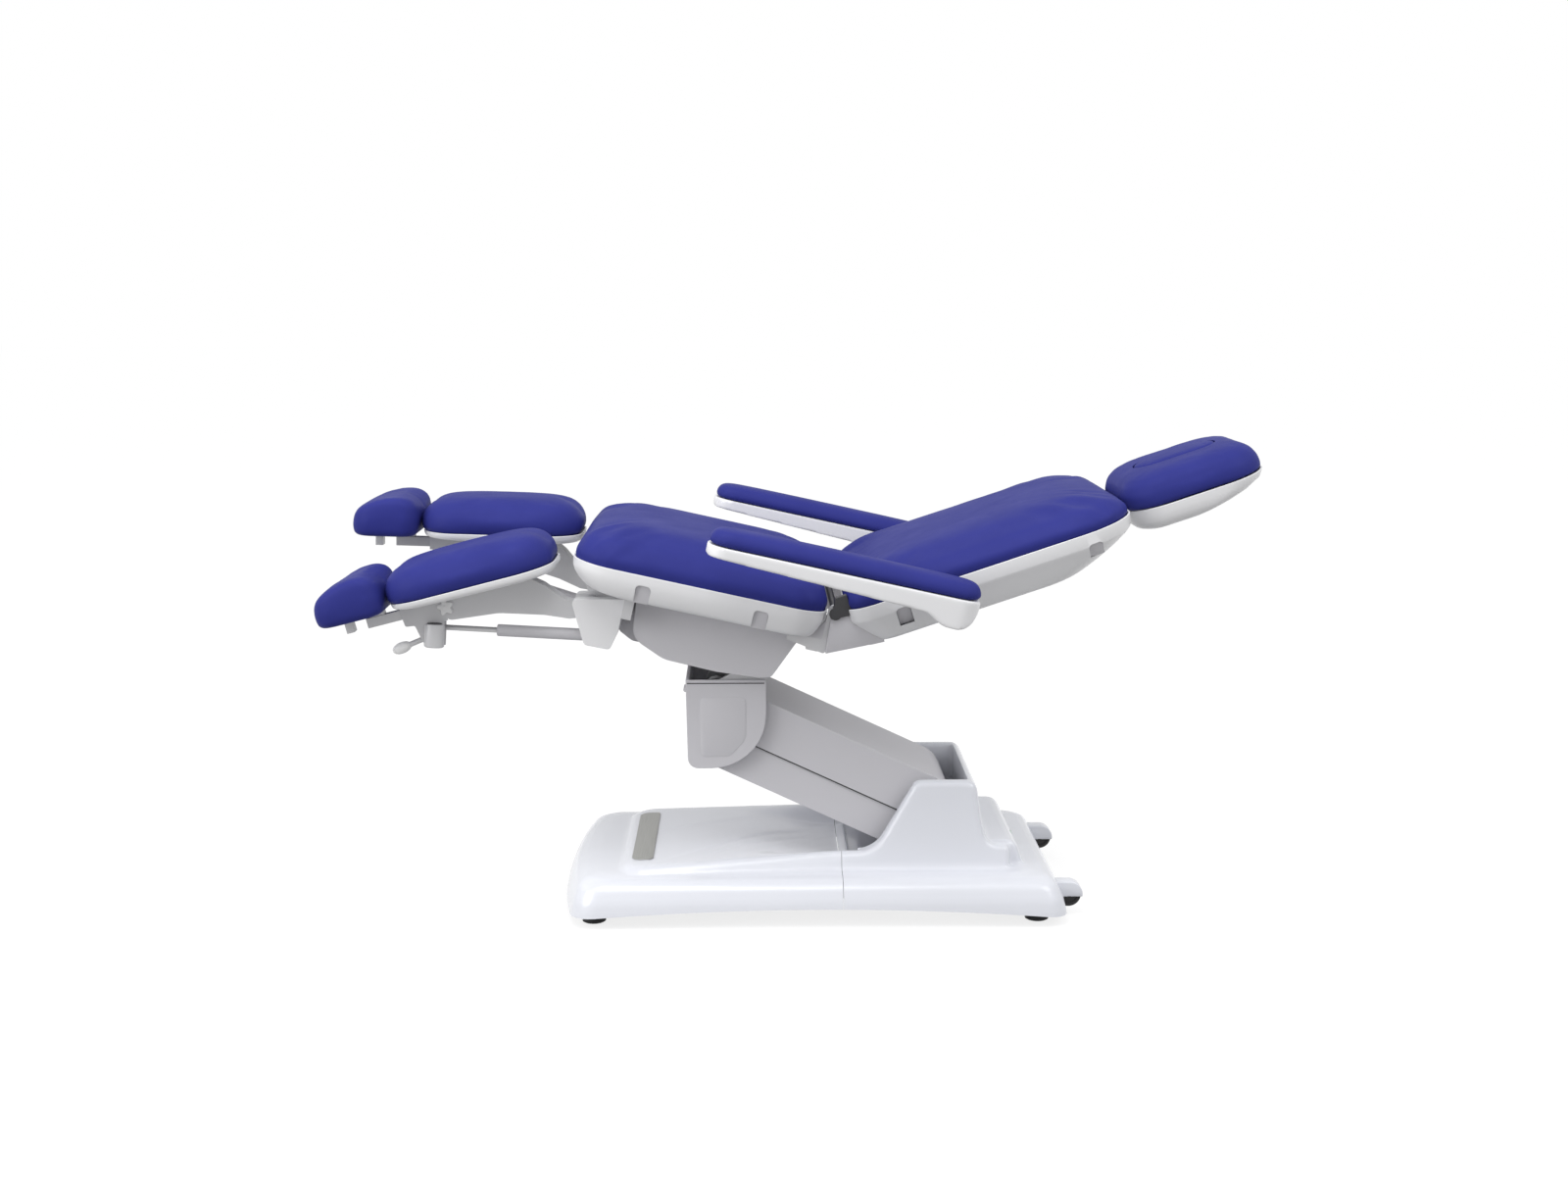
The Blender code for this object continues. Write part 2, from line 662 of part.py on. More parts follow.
def lower_lift_arm(axis):
    half = COVER_HALF_WIDTH - SHEET - GAP
    end = 0.026 + LIFT_LENGTH
    outer = filleted([(-end, -CHANNEL_BELOW, 0.022), (0.040, -CHANNEL_BELOW, 0.028),
                      (0.040, 0.024, 0.022), (-0.060, CHANNEL_ABOVE, 0.030),
                      (0.030 - LIFT_LENGTH, CHANNEL_ABOVE, 0.030), (-end, 0.022, 0.020)])
    item = add("lower_lift_arm", prism(outer, -half, half), "cover", axis)
    floor = SHEET - CHANNEL_BELOW
    inner = filleted([(-1.0, floor, 0.0), (0.040 - SHEET, floor, 0.025), (0.040 - SHEET, 0.2, 0.0),
                      (-1.0, 0.2, 0.0)])
    cut(item, prism(inner, SHEET - half, half - SHEET), hole(0.0, 0.0, SHAFT_RADIUS),
        hole(-LIFT_LENGTH, 0.0, SHAFT_RADIUS))


def lift_drive(chair):
    axis = frame("lift_drive_axis", chair, (LIFT_X, 0.0, LIFT_LOWER_Z), DRIVE_ANGLE)
    mouth = 0.360
    item = add("lift_actuator_body", rod((-0.040, 0, 0), (-mouth, 0, 0), ACTUATOR_RADIUS), "dark", axis)
    fuse(item, across(0.0, 0.0, SHAFT_RADIUS + 0.009, 0.016),
         box(-0.05, -0.012, -0.012, 0.012, -0.012, 0.012))
    cut(item, hole(0.0, 0.0, SHAFT_RADIUS), rod((-0.190, 0, 0), (-mouth - 0.05, 0, 0), ROD_RADIUS + RUN))
    loose = SHAFT_RADIUS + 0.0050
    screw = add("lift_actuator_rod", rod((-0.225, 0, 0), (0.010 - DRIVE_LENGTH, 0, 0), ROD_RADIUS),
                "steel", axis)
    fuse(screw, across(-DRIVE_LENGTH, 0.0, loose + 0.008, 0.013))
    cut(screw, across(-DRIVE_LENGTH, 0.0, loose, 0.1))


def head_bracket(head):
    reach = CHEEK_INNER + CHEEK_THICK
    outline = filleted([(-0.026, -LINK_GAP - 0.026, 0.018), (0.026, -LINK_GAP - 0.026, 0.018),
                        (0.070, 0.0, 0.030), (TILT_X + 0.018, TILT_Z - 0.006, 0.010),
                        (TILT_X + 0.012, TILT_Z + 0.020, 0.012), (TILT_X - 0.020, TILT_Z + 0.020, 0.012),
                        (-0.028, 0.026, 0.020)])
    item = add("head_bracket", prism(outline, CHEEK_INNER, reach), "paint", head)
    fuse(item, prism(outline, -reach, -CHEEK_INNER), across(TILT_X, TILT_Z, TILT_SHAFT, reach - 0.001),
         across(0.0, 0.0, SHAFT_RADIUS, HEAD_HALF_WIDTH - WALL - GAP),
         across(0.0, -LINK_GAP, SHAFT_RADIUS, HEAD_HALF_WIDTH - WALL - GAP))
    lean = math.radians(SEAT_ANGLE)
    tip = Vector((TILT_X + HORN * math.sin(lean), 0.0, TILT_Z + HORN * math.cos(lean)))
    foot = Vector((TILT_X, 0.0, TILT_Z))
    along = (tip - foot).normalized()
    side = Vector((along.z, 0.0, -along.x)) * 0.011
    corners = [foot - side, foot + side, tip + along * 0.011 + side, tip + along * 0.011 - side]
    horn = filleted([(c.x, c.z, r) for c, r in zip(corners, (0.0, 0.0, 0.009, 0.009))])
    fuse(item, prism(horn, -0.008, 0.008), across(tip.x, tip.z, HORN_PIN, 0.015, 12))


def head_cover(head):
    outline = filleted([(HEAD_LEFT, HEAD_TOP, 0.0), (HEAD_LEFT + 0.004, HEAD_BOTTOM, HEAD_CORNER),
                        (HEAD_RIGHT, HEAD_BOTTOM, HEAD_ARC), (HEAD_RIGHT, HEAD_TOP, 0.004)], 9)
    item = add("head_cover", prism(outline, -HEAD_HALF_WIDTH, HEAD_HALF_WIDTH), "cover", head)
    half = HEAD_HALF_WIDTH - WALL
    cut(item, box(HEAD_LEFT + WALL + 0.003, 0.3, -half, half, -0.3, 0.3))


def lift(chair):
    upper = frame("lift_axis", chair, (LIFT_X, 0.0, LIFT_UPPER_Z), LIFT_ANGLE)
    lower = frame("lower_lift_axis", chair, (LIFT_X, 0.0, LIFT_LOWER_Z), LIFT_ANGLE)
    upper_lift_arm(upper)
    upper_arm_cover(upper)
    lower_lift_arm(lower)
    lift_drive(chair)
    head = frame("head_axis", chair, (HEAD_X, 0.0, HEAD_Z))
    head_bracket(head)
    head_cover(head)
    return head


# Trays and pads

def tray(name, x0, x1, half, front, rear, low, top, under, parent, trims=(0.0, 0.0), wall=WALL):
    """A moulded tray: rounded underside that may rise towards its ends, plain rim, open top."""
    def ring(inset, z, share):
        fall = (1.0 - share) ** 2.2
        return level(plan(x0 + trims[0] * fall, x1 - trims[1] * fall, half, front, rear, inset), z)

    walls = ((under, 0.0), (under * 0.4, 0.14), (under * 0.12, 0.42), (0.0, 1.0))
    outer = [ring(inset, low + (top - low) * share, share) for inset, share in walls]
    inner = [ring(inset + wall, low + (top - low) * share + wall * (1 - share), share)
             for inset, share in reversed(walls)]
    return add(name, loft(outer + inner), "shell", parent)


def pad(name, x0, x1, half, front, rear, low, rim, top, parent, draw=0.003, wall=WALL, spread=1.0):
    """A stuffed pad: a foot inside its tray, full sides that are drawn in, and a crown."""
    rise = top - rim
    levels = ((wall + 0.008, low), (wall + 0.0015, rim + GAP), (0.0015, rim + GAP),
              (-0.001, rim + rise * 0.16), (0.001, rim + rise * 0.42), (0.010, rim + rise * 0.70),
              (0.024, rim + rise * 0.88), (0.048 * spread, rim + rise * 0.965),
              (0.085 * spread, rim + rise))
    rings = [level(plan(x0, x1, half, front, rear, inset, draw), z) for inset, z in levels]
    return add(name, loft(rings), "vinyl", parent)


def shaped(outline, x0, x1, half, corner, middle):
    """The part of a side outline that lies inside a rounded plan."""
    item = add("shaped", prism(outline, -half - 0.01, half + 0.01), "shell")
    points = plan(x0, x1, half, corner, corner, sides=2)
    boolean(item, loft([level(points, -0.2), level(points, 0.2)]), "INTERSECT")
    return moved(mesh_of(item), (0.0, middle, 0.0))


# Seat

def clip_recess(item, side, x, low, top, half):
    """A rounded finger recess in a tray's wall, open at the lower edge."""
    outline = filleted([(x - 0.011, low - 0.02, 0.0), (x + 0.011, low - 0.02, 0.0),
                        (x + 0.011, top, 0.008), (x - 0.011, top, 0.008)])
    edges = sorted((side * (half - 0.0025), side * (half + 0.02)))
    cut(item, prism(outline, *edges))


def seat_shell(seat):
    item = tray("seat_shell", SEAT_FRONT, SEAT_REAR, SEAT_HALF_WIDTH, SEAT_FRONT_CORNER,
                SEAT_REAR_CORNER, SEAT_TRAY_LOW, SEAT_TRAY_TOP, 0.016, seat, (0.030, 0.0))
    for x in (-0.270, -0.031):
        for side in (-1.0, 1.0):
            clip_recess(item, side, x, SEAT_TRAY_LOW, 0.138, SEAT_HALF_WIDTH)
    for side in (-1.0, 1.0):
        edges = sorted((side * (EAR_Y + EAR_THICK - 0.001), side * (EAR_Y + 2 * EAR_THICK + 0.002)))
        cut(item, box(0.034, 0.120, *edges, SEAT_TRAY_LOW - 0.01, SEAT_CUSHION_LOW - 0.002),
            box(0.078, 0.120, *edges, SEAT_CUSHION_LOW - 0.01, SEAT_TRAY_TOP - 0.004))


def seat_frame(seat):
    top = SEAT_TRAY_LOW - GAP
    beam_rear = BEAM_FRONT + BEAM_DEPTH
    item = add("seat_frame", box(BEAM_FRONT, beam_rear, -0.235, 0.235, SEAT_RAIL_LOW, top), "steel", seat)
    fuse(item, box(0.072, 0.095, -EAR_Y - EAR_THICK + 0.002, EAR_Y + EAR_THICK - 0.002, 0.0815, top))
    low = SEAT_RAIL_LOW + 0.001
    hanger = filleted([(BEAM_FRONT + 0.004, low, 0.0), (-0.040, low, 0.0), (-0.021, -0.021, 0.016),
                       (0.021, -0.021, 0.016), (0.030, low, 0.0), (0.092, 0.083, 0.0),
                       (0.092, top - 0.001, 0.0), (BEAM_FRONT + 0.004, top - 0.001, 0.0)])
    ear = filleted([(0.030, top - 0.0005, 0.0), (0.030, 0.094, 0.0), (0.110, 0.080, 0.006),
                    (HINGE_X + HINGE_BOSS, HINGE_Z - 0.012, 0.0),
                    (HINGE_X + HINGE_BOSS, HINGE_Z + HINGE_BOSS, 0.012),
                    (HINGE_X - HINGE_BOSS + 0.0005, HINGE_Z + HINGE_BOSS, 0.012),
                    (HINGE_X - HINGE_BOSS + 0.0005, top - 0.0005, 0.0)])
    for side in (-1.0, 1.0):
        fuse(item, prism(hanger, side * HANGER_Y, side * (HANGER_Y + HANGER_THICK)),
             prism(ear, side * EAR_Y, side * (EAR_Y + EAR_THICK)))
    cut(item, hole(0.0, 0.0, TILT_SHAFT), hole(HINGE_X, HINGE_Z, HINGE_PIN),
        box(0.060, 0.100, BACK_ROD_Y - 0.012, LEVER_Y + 0.016, 0.05, 0.2))


def belly_pan(seat):
    top = SEAT_TRAY_LOW - GAP
    outer = filleted([(-0.2795, top, 0.0), (-0.272, 0.020, 0.040), (-0.200, -0.010, 0.060),
                      (-0.090, -0.0125, 0.0), (-0.004, -0.0065, 0.0), (0.020, 0.000, 0.014),
                      (0.0665, top, 0.0)])
    inner = filleted([(-0.2765, 0.3, 0.0), (-0.2765, top, 0.0), (-0.269, 0.022, 0.037),
                      (-0.199, -0.007, 0.057),
                      (-0.090, -0.0095, 0.0), (-0.004, -0.0035, 0.0), (0.018, 0.003, 0.011),
                      (0.0630, top, 0.0), (0.0630, 0.3, 0.0)])
    item = add("belly_pan", prism(outer, -BELLY_HALF_WIDTH, BELLY_HALF_WIDTH), "cover", seat)
    half = BELLY_HALF_WIDTH - SHEET
    slot = CHEEK_INNER + CHEEK_THICK + 0.004
    cut(item, prism(inner, -half, half), box(-0.105, 0.040, -slot, slot, -0.1, 0.030),
        box(-0.35, -0.2, -0.120, 0.120, SEAT_RAIL_LOW - 0.002, 0.3),
        box(0.030, 0.2, -0.120, 0.120, SEAT_RAIL_LOW - 0.002, 0.3),
        box(0.0, 0.2, BACK_ROD_Y - 0.014, LEVER_Y + 0.018, 0.020, 0.3))


def tilt_drive(seat):
    start = BEAM_FRONT + BEAM_DEPTH + GAP
    item = add("tilt_actuator_body", rod((start + 0.020, 0, HORN), (-0.090, 0, HORN), 0.020), "dark", seat)
    fuse(item, box(start, start + 0.040, -0.012, 0.012, HORN - 0.005, HORN + 0.012))
    cut(item, rod((-0.200, 0, HORN), (0.0, 0, HORN), TILT_ROD + RUN))
    screw = add("tilt_actuator_rod", rod((-0.175, 0, HORN), (-0.030, 0, HORN), TILT_ROD), "steel", seat)
    fork = filleted([(-0.040, HORN - 0.011, 0.0), (0.013, HORN - 0.013, 0.010), (0.013, HORN + 0.013, 0.010),
                     (-0.040, HORN + 0.011, 0.0)])
    fuse(screw, prism(fork, -0.0145, 0.0145))
    eye = filleted([(-0.0068, HORN - 0.0095, 0.006), (0.0068, HORN - 0.0095, 0.006),
                    (0.0068, HORN + 0.0095, 0.006), (-0.0068, HORN + 0.0095, 0.006)])
    cut(screw, box(-0.026, 0.1, -0.0090, 0.0090, 0.0, 0.2), prism(eye, -0.1, 0.1))


def back_drive(seat):
    reach = BACK_LEVER * math.sin(math.radians(BACK_LEVER_LEAN))
    end_x = HINGE_X - reach
    z = HINGE_Z - BACK_LEVER * math.cos(math.radians(BACK_LEVER_LEAN))
    start = BEAM_FRONT + BEAM_DEPTH + 0.006
    item = add("back_actuator_body", rod((start + 0.020, BACK_ROD_Y, z), (-0.060, BACK_ROD_Y, z), 0.021),
               "dark", seat)
    fuse(item, box(start, start + 0.040, BACK_ROD_Y - 0.010, BACK_ROD_Y + 0.010, z - 0.010, z + 0.010),
         box(start + 0.004, start + 0.030, BACK_ROD_Y, HANGER_Y - GAP, z - 0.008, z + 0.008))
    cut(item, rod((-0.240, BACK_ROD_Y, z), (0.0, BACK_ROD_Y, z), TILT_ROD + RUN))
    screw = add("back_actuator_rod", rod((-0.195, BACK_ROD_Y, z), (end_x - 0.020, BACK_ROD_Y, z), TILT_ROD),
                "steel", seat)
    eye = filleted([(end_x - 0.040, z - 0.006, 0.0), (end_x + 0.011, z - 0.011, 0.010),
                    (end_x + 0.011, z + 0.011, 0.010), (end_x - 0.040, z + 0.006, 0.0)])
    fuse(screw, prism(eye, BACK_ROD_Y - 0.005, BACK_ROD_Y + 0.005))
    cut(screw, across(end_x, z, 0.005, 0.3, 12))


def leg_casting(seat, name, side):
    top = SEAT_TRAY_LOW - 0.012
    outline = filleted([(-0.407, 0.075, 0.010), (-0.362, -0.011, 0.010), (-0.310, -0.010, 0.008),
                        (BEAM_FRONT - GAP, 0.029, 0.0), (BEAM_FRONT - GAP, top, 0.0)])
    middle = side * LEG_Y
    item = add(f"leg_casting_{name}", prism(outline, middle - CAST_HALF_WIDTH, middle + CAST_HALF_WIDTH),
               "shell", seat)
    free = LEG_HALF_THICK + 0.0010
    cut(item, box(-0.6, -0.323, middle - free, middle + free, -0.2, 0.3))
    fuse(item, across(LEG_PIVOT_X, LEG_PIVOT_Z, LEG_SHAFT, CAST_HALF_WIDTH - 0.004, middle=middle),
         across(ANCHOR_X, ANCHOR_Z, ANCHOR_SHAFT, CAST_HALF_WIDTH - 0.004, 12, middle=middle))


def hinge_pin(seat):
    axis = frame("back_axis", seat, (HINGE_X, 0.0, HINGE_Z), BACK_ANGLE - SEAT_ANGLE)
    head = HINGE_BOSS - 0.002
    outer = EAR_Y + 2 * EAR_THICK + 0.001
    profile = [(head, -outer - 0.004), (head, -outer), (HINGE_PIN, -outer), (HINGE_PIN, outer),
               (head, outer), (head, outer + 0.004)]
    add("back_hinge_pin", moved(turned(profile, 16), (HINGE_X, 0.0, HINGE_Z), (90.0, "X")), "dark", seat)
    return axis


# Backrest, armrests and headrest

def back_frame(axis):
    floor = BACK_TRAY_LOW + WALL + GAP
    top = BACK_CUSHION_LOW - 0.026
    boss = HINGE_BOSS - 0.002
    plate = filleted([(-boss, boss, 0.011), (-0.046, -0.072, 0.004), (0.075, -0.0845, 0.0),
                      (0.075, BACK_TRAY_LOW - GAP, 0.0), (BACK_FRONT - 0.001, BACK_TRAY_LOW - GAP, 0.0),
                      (BACK_FRONT - 0.001, floor, 0.0), (RAIL_BACK_END, floor + 0.010, 0.0),
                      (RAIL_BACK_END, top, 0.0), (boss, top, 0.0), (boss, boss, 0.011)])
    inner = EAR_Y + EAR_THICK + 0.0005
    outer = inner + EAR_THICK
    item = add("back_frame", prism(plate, inner, outer), "paint", axis)
    fuse(item, prism(plate, -outer, -inner),
         box(0.104, 0.130, -outer + 0.002, outer - 0.002, floor + 0.002, top - 0.002),
         box(RAIL_BACK_END - 0.033, RAIL_BACK_END - 0.002, -outer + 0.002, outer - 0.002,
             floor + 0.012, top + 0.004))
    lever = filleted([(0.108, floor + 0.003, 0.0), (0.108, top - 0.004, 0.0), (0.020, -0.046, 0.0),
                      (-0.050, -0.058, 0.012), (-0.069, -0.072, 0.010), (-0.054, -0.087, 0.012),
                      (0.030, floor + 0.003, 0.0)])
    fuse(item, prism(lever, LEVER_Y - 0.004, LEVER_Y + 0.004))
    for side in (-1.0, 1.0):
        fuse(item, rod((SOCKET_START, side * POST_Y, POST_Z), (SOCKET_END, side * POST_Y, POST_Z),
                       SOCKET_RADIUS, 16),
             rod((ARM_PIVOT_X, side * (inner + 0.002), ARM_PIVOT_Z),
                 (ARM_PIVOT_X, side * ARM_SHAFT_END, ARM_PIVOT_Z), ARM_SHAFT, 16))
    cut(item, hole(0.0, 0.0, HINGE_PIN),
        across(-0.054, -0.072, 0.005, 0.1, 12, middle=LEVER_Y))
    for side in (-1.0, 1.0):
        cut(item, rod((SOCKET_START - 0.010, side * POST_Y, POST_Z),
                      (SOCKET_END + 0.040, side * POST_Y, POST_Z), POST_RADIUS + RUN, 16))


def back_shell(axis):
    item = tray("back_shell", BACK_FRONT, BACK_END, BACK_HALF_WIDTH, BACK_FRONT_CORNER, BACK_END_CORNER,
                BACK_TRAY_LOW, BACK_TRAY_TOP, 0.030, axis, (0.0, 0.090))
    for side in (-1.0, 1.0):
        for x, top in ((0.129, -0.028), (0.525, -0.026)):
            clip_recess(item, side, x, BACK_TRAY_LOW, top, BACK_HALF_WIDTH - 0.004)
        edges = sorted((side * (EAR_Y + EAR_THICK - 0.001), side * (EAR_Y + 2 * EAR_THICK + 0.002)))
        cut(item, box(-0.1, 0.070, *edges, BACK_TRAY_LOW + WALL / 2, 0.1),
            rod((ARM_PIVOT_X, side * EAR_Y, ARM_PIVOT_Z), (ARM_PIVOT_X, side * ARM_SHAFT_END, ARM_PIVOT_Z),
                ARM_SHAFT + GAP, 16),
            rod((BACK_END - 0.050, side * POST_Y, POST_Z), (BACK_END + 0.070, side * POST_Y, POST_Z),
                POST_RADIUS + 0.001, 16))
    cut(item, box(-0.1, 0.103, LEVER_Y - 0.0055, LEVER_Y + 0.0055, -0.2, -0.036))


def armrest(axis, name, side):
    pivot = frame(f"armrest_axis_{name}", axis, (ARM_PIVOT_X, 0.0, ARM_PIVOT_Z), SEAT_ANGLE - BACK_ANGLE)
    middle = side * ARM_Y
    outline = filleted([(ARM_FRONT - 0.01, ARM_PARTING, 0.0), (ARM_FRONT - 0.001, 0.000, 0.014),
                        (-0.064, ARM_LOW, 0.030), (-0.030, -KNUCKLE_RADIUS, 0.022),
                        (0.030, -KNUCKLE_RADIUS, 0.026), (ARM_REAR + 0.01, ARM_PARTING, 0.0)], 6)
    item = add(f"armrest_shell_{name}",
               shaped(outline, ARM_FRONT, ARM_REAR, ARM_HALF_WIDTH, 0.040, middle), "shell", pivot)
    cut(item, hole(0.0, 0.0, ARM_SHAFT, ARM_SHAFT_END - BACK_HALF_WIDTH + GAP, 16, side * BACK_HALF_WIDTH))
    rise = ARM_TOP - ARM_PARTING
    levels = ((0.002, GAP), (-0.0005, rise * 0.30), (0.003, rise * 0.62), (0.011, rise * 0.88),
              (0.024, rise))
    rings = []
    for inset, z in levels:
        points = plan(ARM_FRONT, ARM_REAR, ARM_HALF_WIDTH, 0.040, 0.040, inset, 0.001, sides=4)
        rings.append([(x, y + middle, ARM_PARTING + z) for x, y in points])
    add(f"armrest_pad_{name}", loft(rings), "vinyl", pivot)


def headrest(axis):
    slide = frame("headrest_slide_axis", axis, (HEADREST_PIVOT_X, 0.0, POST_Z))
    bar = 0.008
    item = add("headrest_posts", across(0.0, 0.0, bar, POST_Y + 0.030, 16), "steel", slide)
    for side in (-1.0, 1.0):
        fuse(item, rod((0.450 - HEADREST_PIVOT_X, side * POST_Y, 0.0), (-0.003, side * POST_Y, 0.0),
                       POST_RADIUS, 16))
    tilt = frame("headrest_axis", axis, (HEADREST_PIVOT_X, 0.0, POST_Z))
    x0 = HEADREST_FRONT - HEADREST_PIVOT_X
    x1 = HEADREST_END - HEADREST_PIVOT_X
    rim = HEADREST_RIM - POST_Z
    low = HEADREST_LOW - POST_Z

    shell = tray("headrest_shell", x0, x1, HEADREST_HALF_WIDTH, 0.080, 0.090, low, rim, 0.030, tilt,
                 (0.0, 0.110))
    for side in (-1.0, 1.0):
        near, far = sorted((side * (POST_Y - 0.010), side * (POST_Y + 0.010)))
        cut(shell, box(-0.2, -0.014, near, far, -0.030, 0.1))
        ear = filleted([(-0.0125, low + 0.002, 0.0), (0.0125, low + 0.002, 0.0), (0.0125, 0.0095, 0.008),
                        (-0.0125, 0.0095, 0.008)])
        near, far = sorted((side * (POST_Y + 0.014), side * (POST_Y + 0.026)))
        fuse(shell, prism(ear, near, far))
    cut(shell, hole(0.0, 0.0, bar, POST_Y + 0.032, 16))
    top = HEADREST_TOP - POST_Z
    cushion = pad("headrest_cushion", x0, x1, HEADREST_HALF_WIDTH, 0.080, 0.090, rim - 0.001, rim, top,
                  tilt, spread=0.8)
    plug_x = PLUG_X - HEADREST_PIVOT_X
    ends = (plug_x - PLUG_LENGTH / 2, plug_x + PLUG_LENGTH / 2)

    def oval(inset, z):
        corner = PLUG_HALF_WIDTH - 0.001
        return level(plan(*ends, PLUG_HALF_WIDTH, corner, corner, inset, sides=2), z)

    cut(cushion, loft([oval(0.0, rim - 0.05), oval(0.0, top + 0.05)]))
    plug = [oval(GAP * 2, rim - 0.001), oval(GAP * 2, top - 0.006), oval(0.003, top - 0.001),
            oval(0.010, top)]
    add("breathing_plug", loft(plug), "vinyl", tilt)


# Leg rests

def leg_rest(seat, name):
    side = LEG_SIDES[name]
    turn = LEG_ANGLES[name] - SEAT_ANGLE
    leg = frame(f"leg_axis_{name}", seat, (LEG_PIVOT_X, side * LEG_Y, LEG_PIVOT_Z), turn)
    leg_arm(leg, name, side)
    tray(f"leg_tray_{name}", LEG_FOOT_END, LEG_SEAT_END, LEG_HALF_WIDTH, 0.075, 0.080,
         LEG_TRAY_LOW, LEG_TRAY_TOP, 0.012, leg)
    pad(f"leg_cushion_{name}", LEG_FOOT_END - 0.006, LEG_SEAT_END, LEG_HALF_WIDTH, 0.078, 0.080,
        LEG_TRAY_TOP - 0.012, LEG_TRAY_TOP, LEG_CUSHION_TOP, leg, wall=WALL + 0.006, spread=0.85)
    foot_rest(leg, name)
    star_knob(leg, name, side)
    gas_spring(seat, name, side, turn)


def leg_arm(leg, name, side):
    under = LEG_TRAY_LOW - GAP
    low = BAR_LOW - 0.005
    outline = filleted([(-0.372, low, 0.0), (-0.285, low, 0.0), (-0.284, 0.045, 0.010),
                        (-0.181, 0.034, 0.10), (-0.093, 0.007, 0.0), (-0.047, -0.013, 0.0),
                        (-0.012, -0.018, 0.0), (0.012, -0.012, 0.0), (0.012, 0.012, 0.0),
                        (-0.041, 0.022, 0.030), (-0.080, 0.068, 0.040),
                        (-0.112, under, 0.020), (-0.372, under, 0.0)], 4)
    item = add(f"leg_arm_{name}", prism(outline, -LEG_HALF_THICK, LEG_HALF_THICK), "paint", leg)
    fuse(item, across(0.0, 0.0, 0.0185, LEG_HALF_THICK))
    plate = filleted([(-0.3715, low + 0.010, 0.0), (-0.3715, 0.054, 0.004), (-0.352, 0.051, 0.004),
                      (-0.345, 0.012, 0.006), (-0.328, 0.008, 0.006), (-0.300, 0.042, 0.010),
                      (-0.2845, 0.046, 0.0), (-0.2845, low + 0.010, 0.0)], 3)
    edges = sorted((side * (LEG_HALF_THICK - 0.0045), side * (LEG_HALF_THICK - 0.0005)))
    fuse(item, prism(plate, *edges))
    free = BAR_SIDE / 2 + RUN
    cut(item, hole(0.0, 0.0, LEG_SHAFT),
        box(-0.5, -0.150, -free, free, BAR_LOW - RUN, BAR_LOW + BAR_SIDE + RUN),
        rod((KNOB_X, 0.0, KNOB_Z), (KNOB_X, side * 0.1, KNOB_Z), 0.004 + GAP, 12))


def star_knob(leg, name, side):
    axis = frame(f"knob_axis_{name}", leg, (KNOB_X, 0.0, KNOB_Z))
    lobes = []
    for k in range(KNOB_POINTS):
        angle = 2 * math.pi * k / KNOB_POINTS
        radius = 0.0150 + 0.0028 * math.cos(5 * angle)
        lobes.append((radius * math.cos(angle), radius * math.sin(angle)))
    start = LEG_HALF_THICK + 0.004
    rings = []
    for scale, y in ((0.86, start), (1.0, start + 0.002), (1.0, start + 0.008), (0.86, start + 0.010)):
        rings.append([(a * scale, side * y, b * scale) for a, b in lobes])
    item = add(f"star_knob_{name}", loft(rings), "shell", axis)
    fuse(item, rod((0.0, side * (BAR_SIDE / 2 + GAP), 0.0), (0.0, side * (start + 0.004), 0.0), 0.004, 12),
         rod((0.0, side * (LEG_HALF_THICK + GAP), 0.0), (0.0, side * (start + 0.004), 0.0), 0.008, 12))


def foot_rest(leg, name):
    axis = frame(f"foot_slide_axis_{name}", leg, (BAR_END, 0.0, BAR_LOW + BAR_SIDE / 2))
    half = BAR_SIDE / 2
    item = add(f"foot_slide_{name}", box(0.0, BAR_INNER_END - BAR_END, -half, half, -half, half), "steel",
               axis)
    deck_top = FOOT_PAD_LOW - GAP - BAR_LOW - half
    fuse(item, box(-0.050, 0.050, -0.045, 0.045, deck_top - 0.004, deck_top),
         box(0.004, 0.040, -half + 0.001, half - 0.001, half - 0.002, deck_top - 0.002),
         box(-0.044, -0.028, -0.012, 0.012, -half, deck_top - 0.002))
    x0 = FOOT_PAD_END - BAR_END
    x1 = FOOT_PAD_INNER - BAR_END
    base = FOOT_PAD_LOW - BAR_LOW - half
    tip = FOOT_PAD_TIP - BAR_LOW - half
    high = FOOT_PAD_TOP - BAR_LOW - half

    def slope(share):
        def height(x, y):
            along = min(max((x - x0) / (x1 - x0), 0.0), 1.0)
            return base + (tip + (high - tip) * math.sin(along * math.pi / 2) - base) * share
        return height

    levels = ((0.008, 0.0), (0.0, 0.14), (-0.001, 0.42), (0.006, 0.72), (0.018, 0.92), (0.036, 1.0))
    rings = [level(plan(x0, x1, FOOT_PAD_HALF_WIDTH, 0.045, 0.030, inset, 0.002), slope(share))
             for inset, share in levels]
    add(f"foot_pad_{name}", loft(rings), "vinyl", axis)


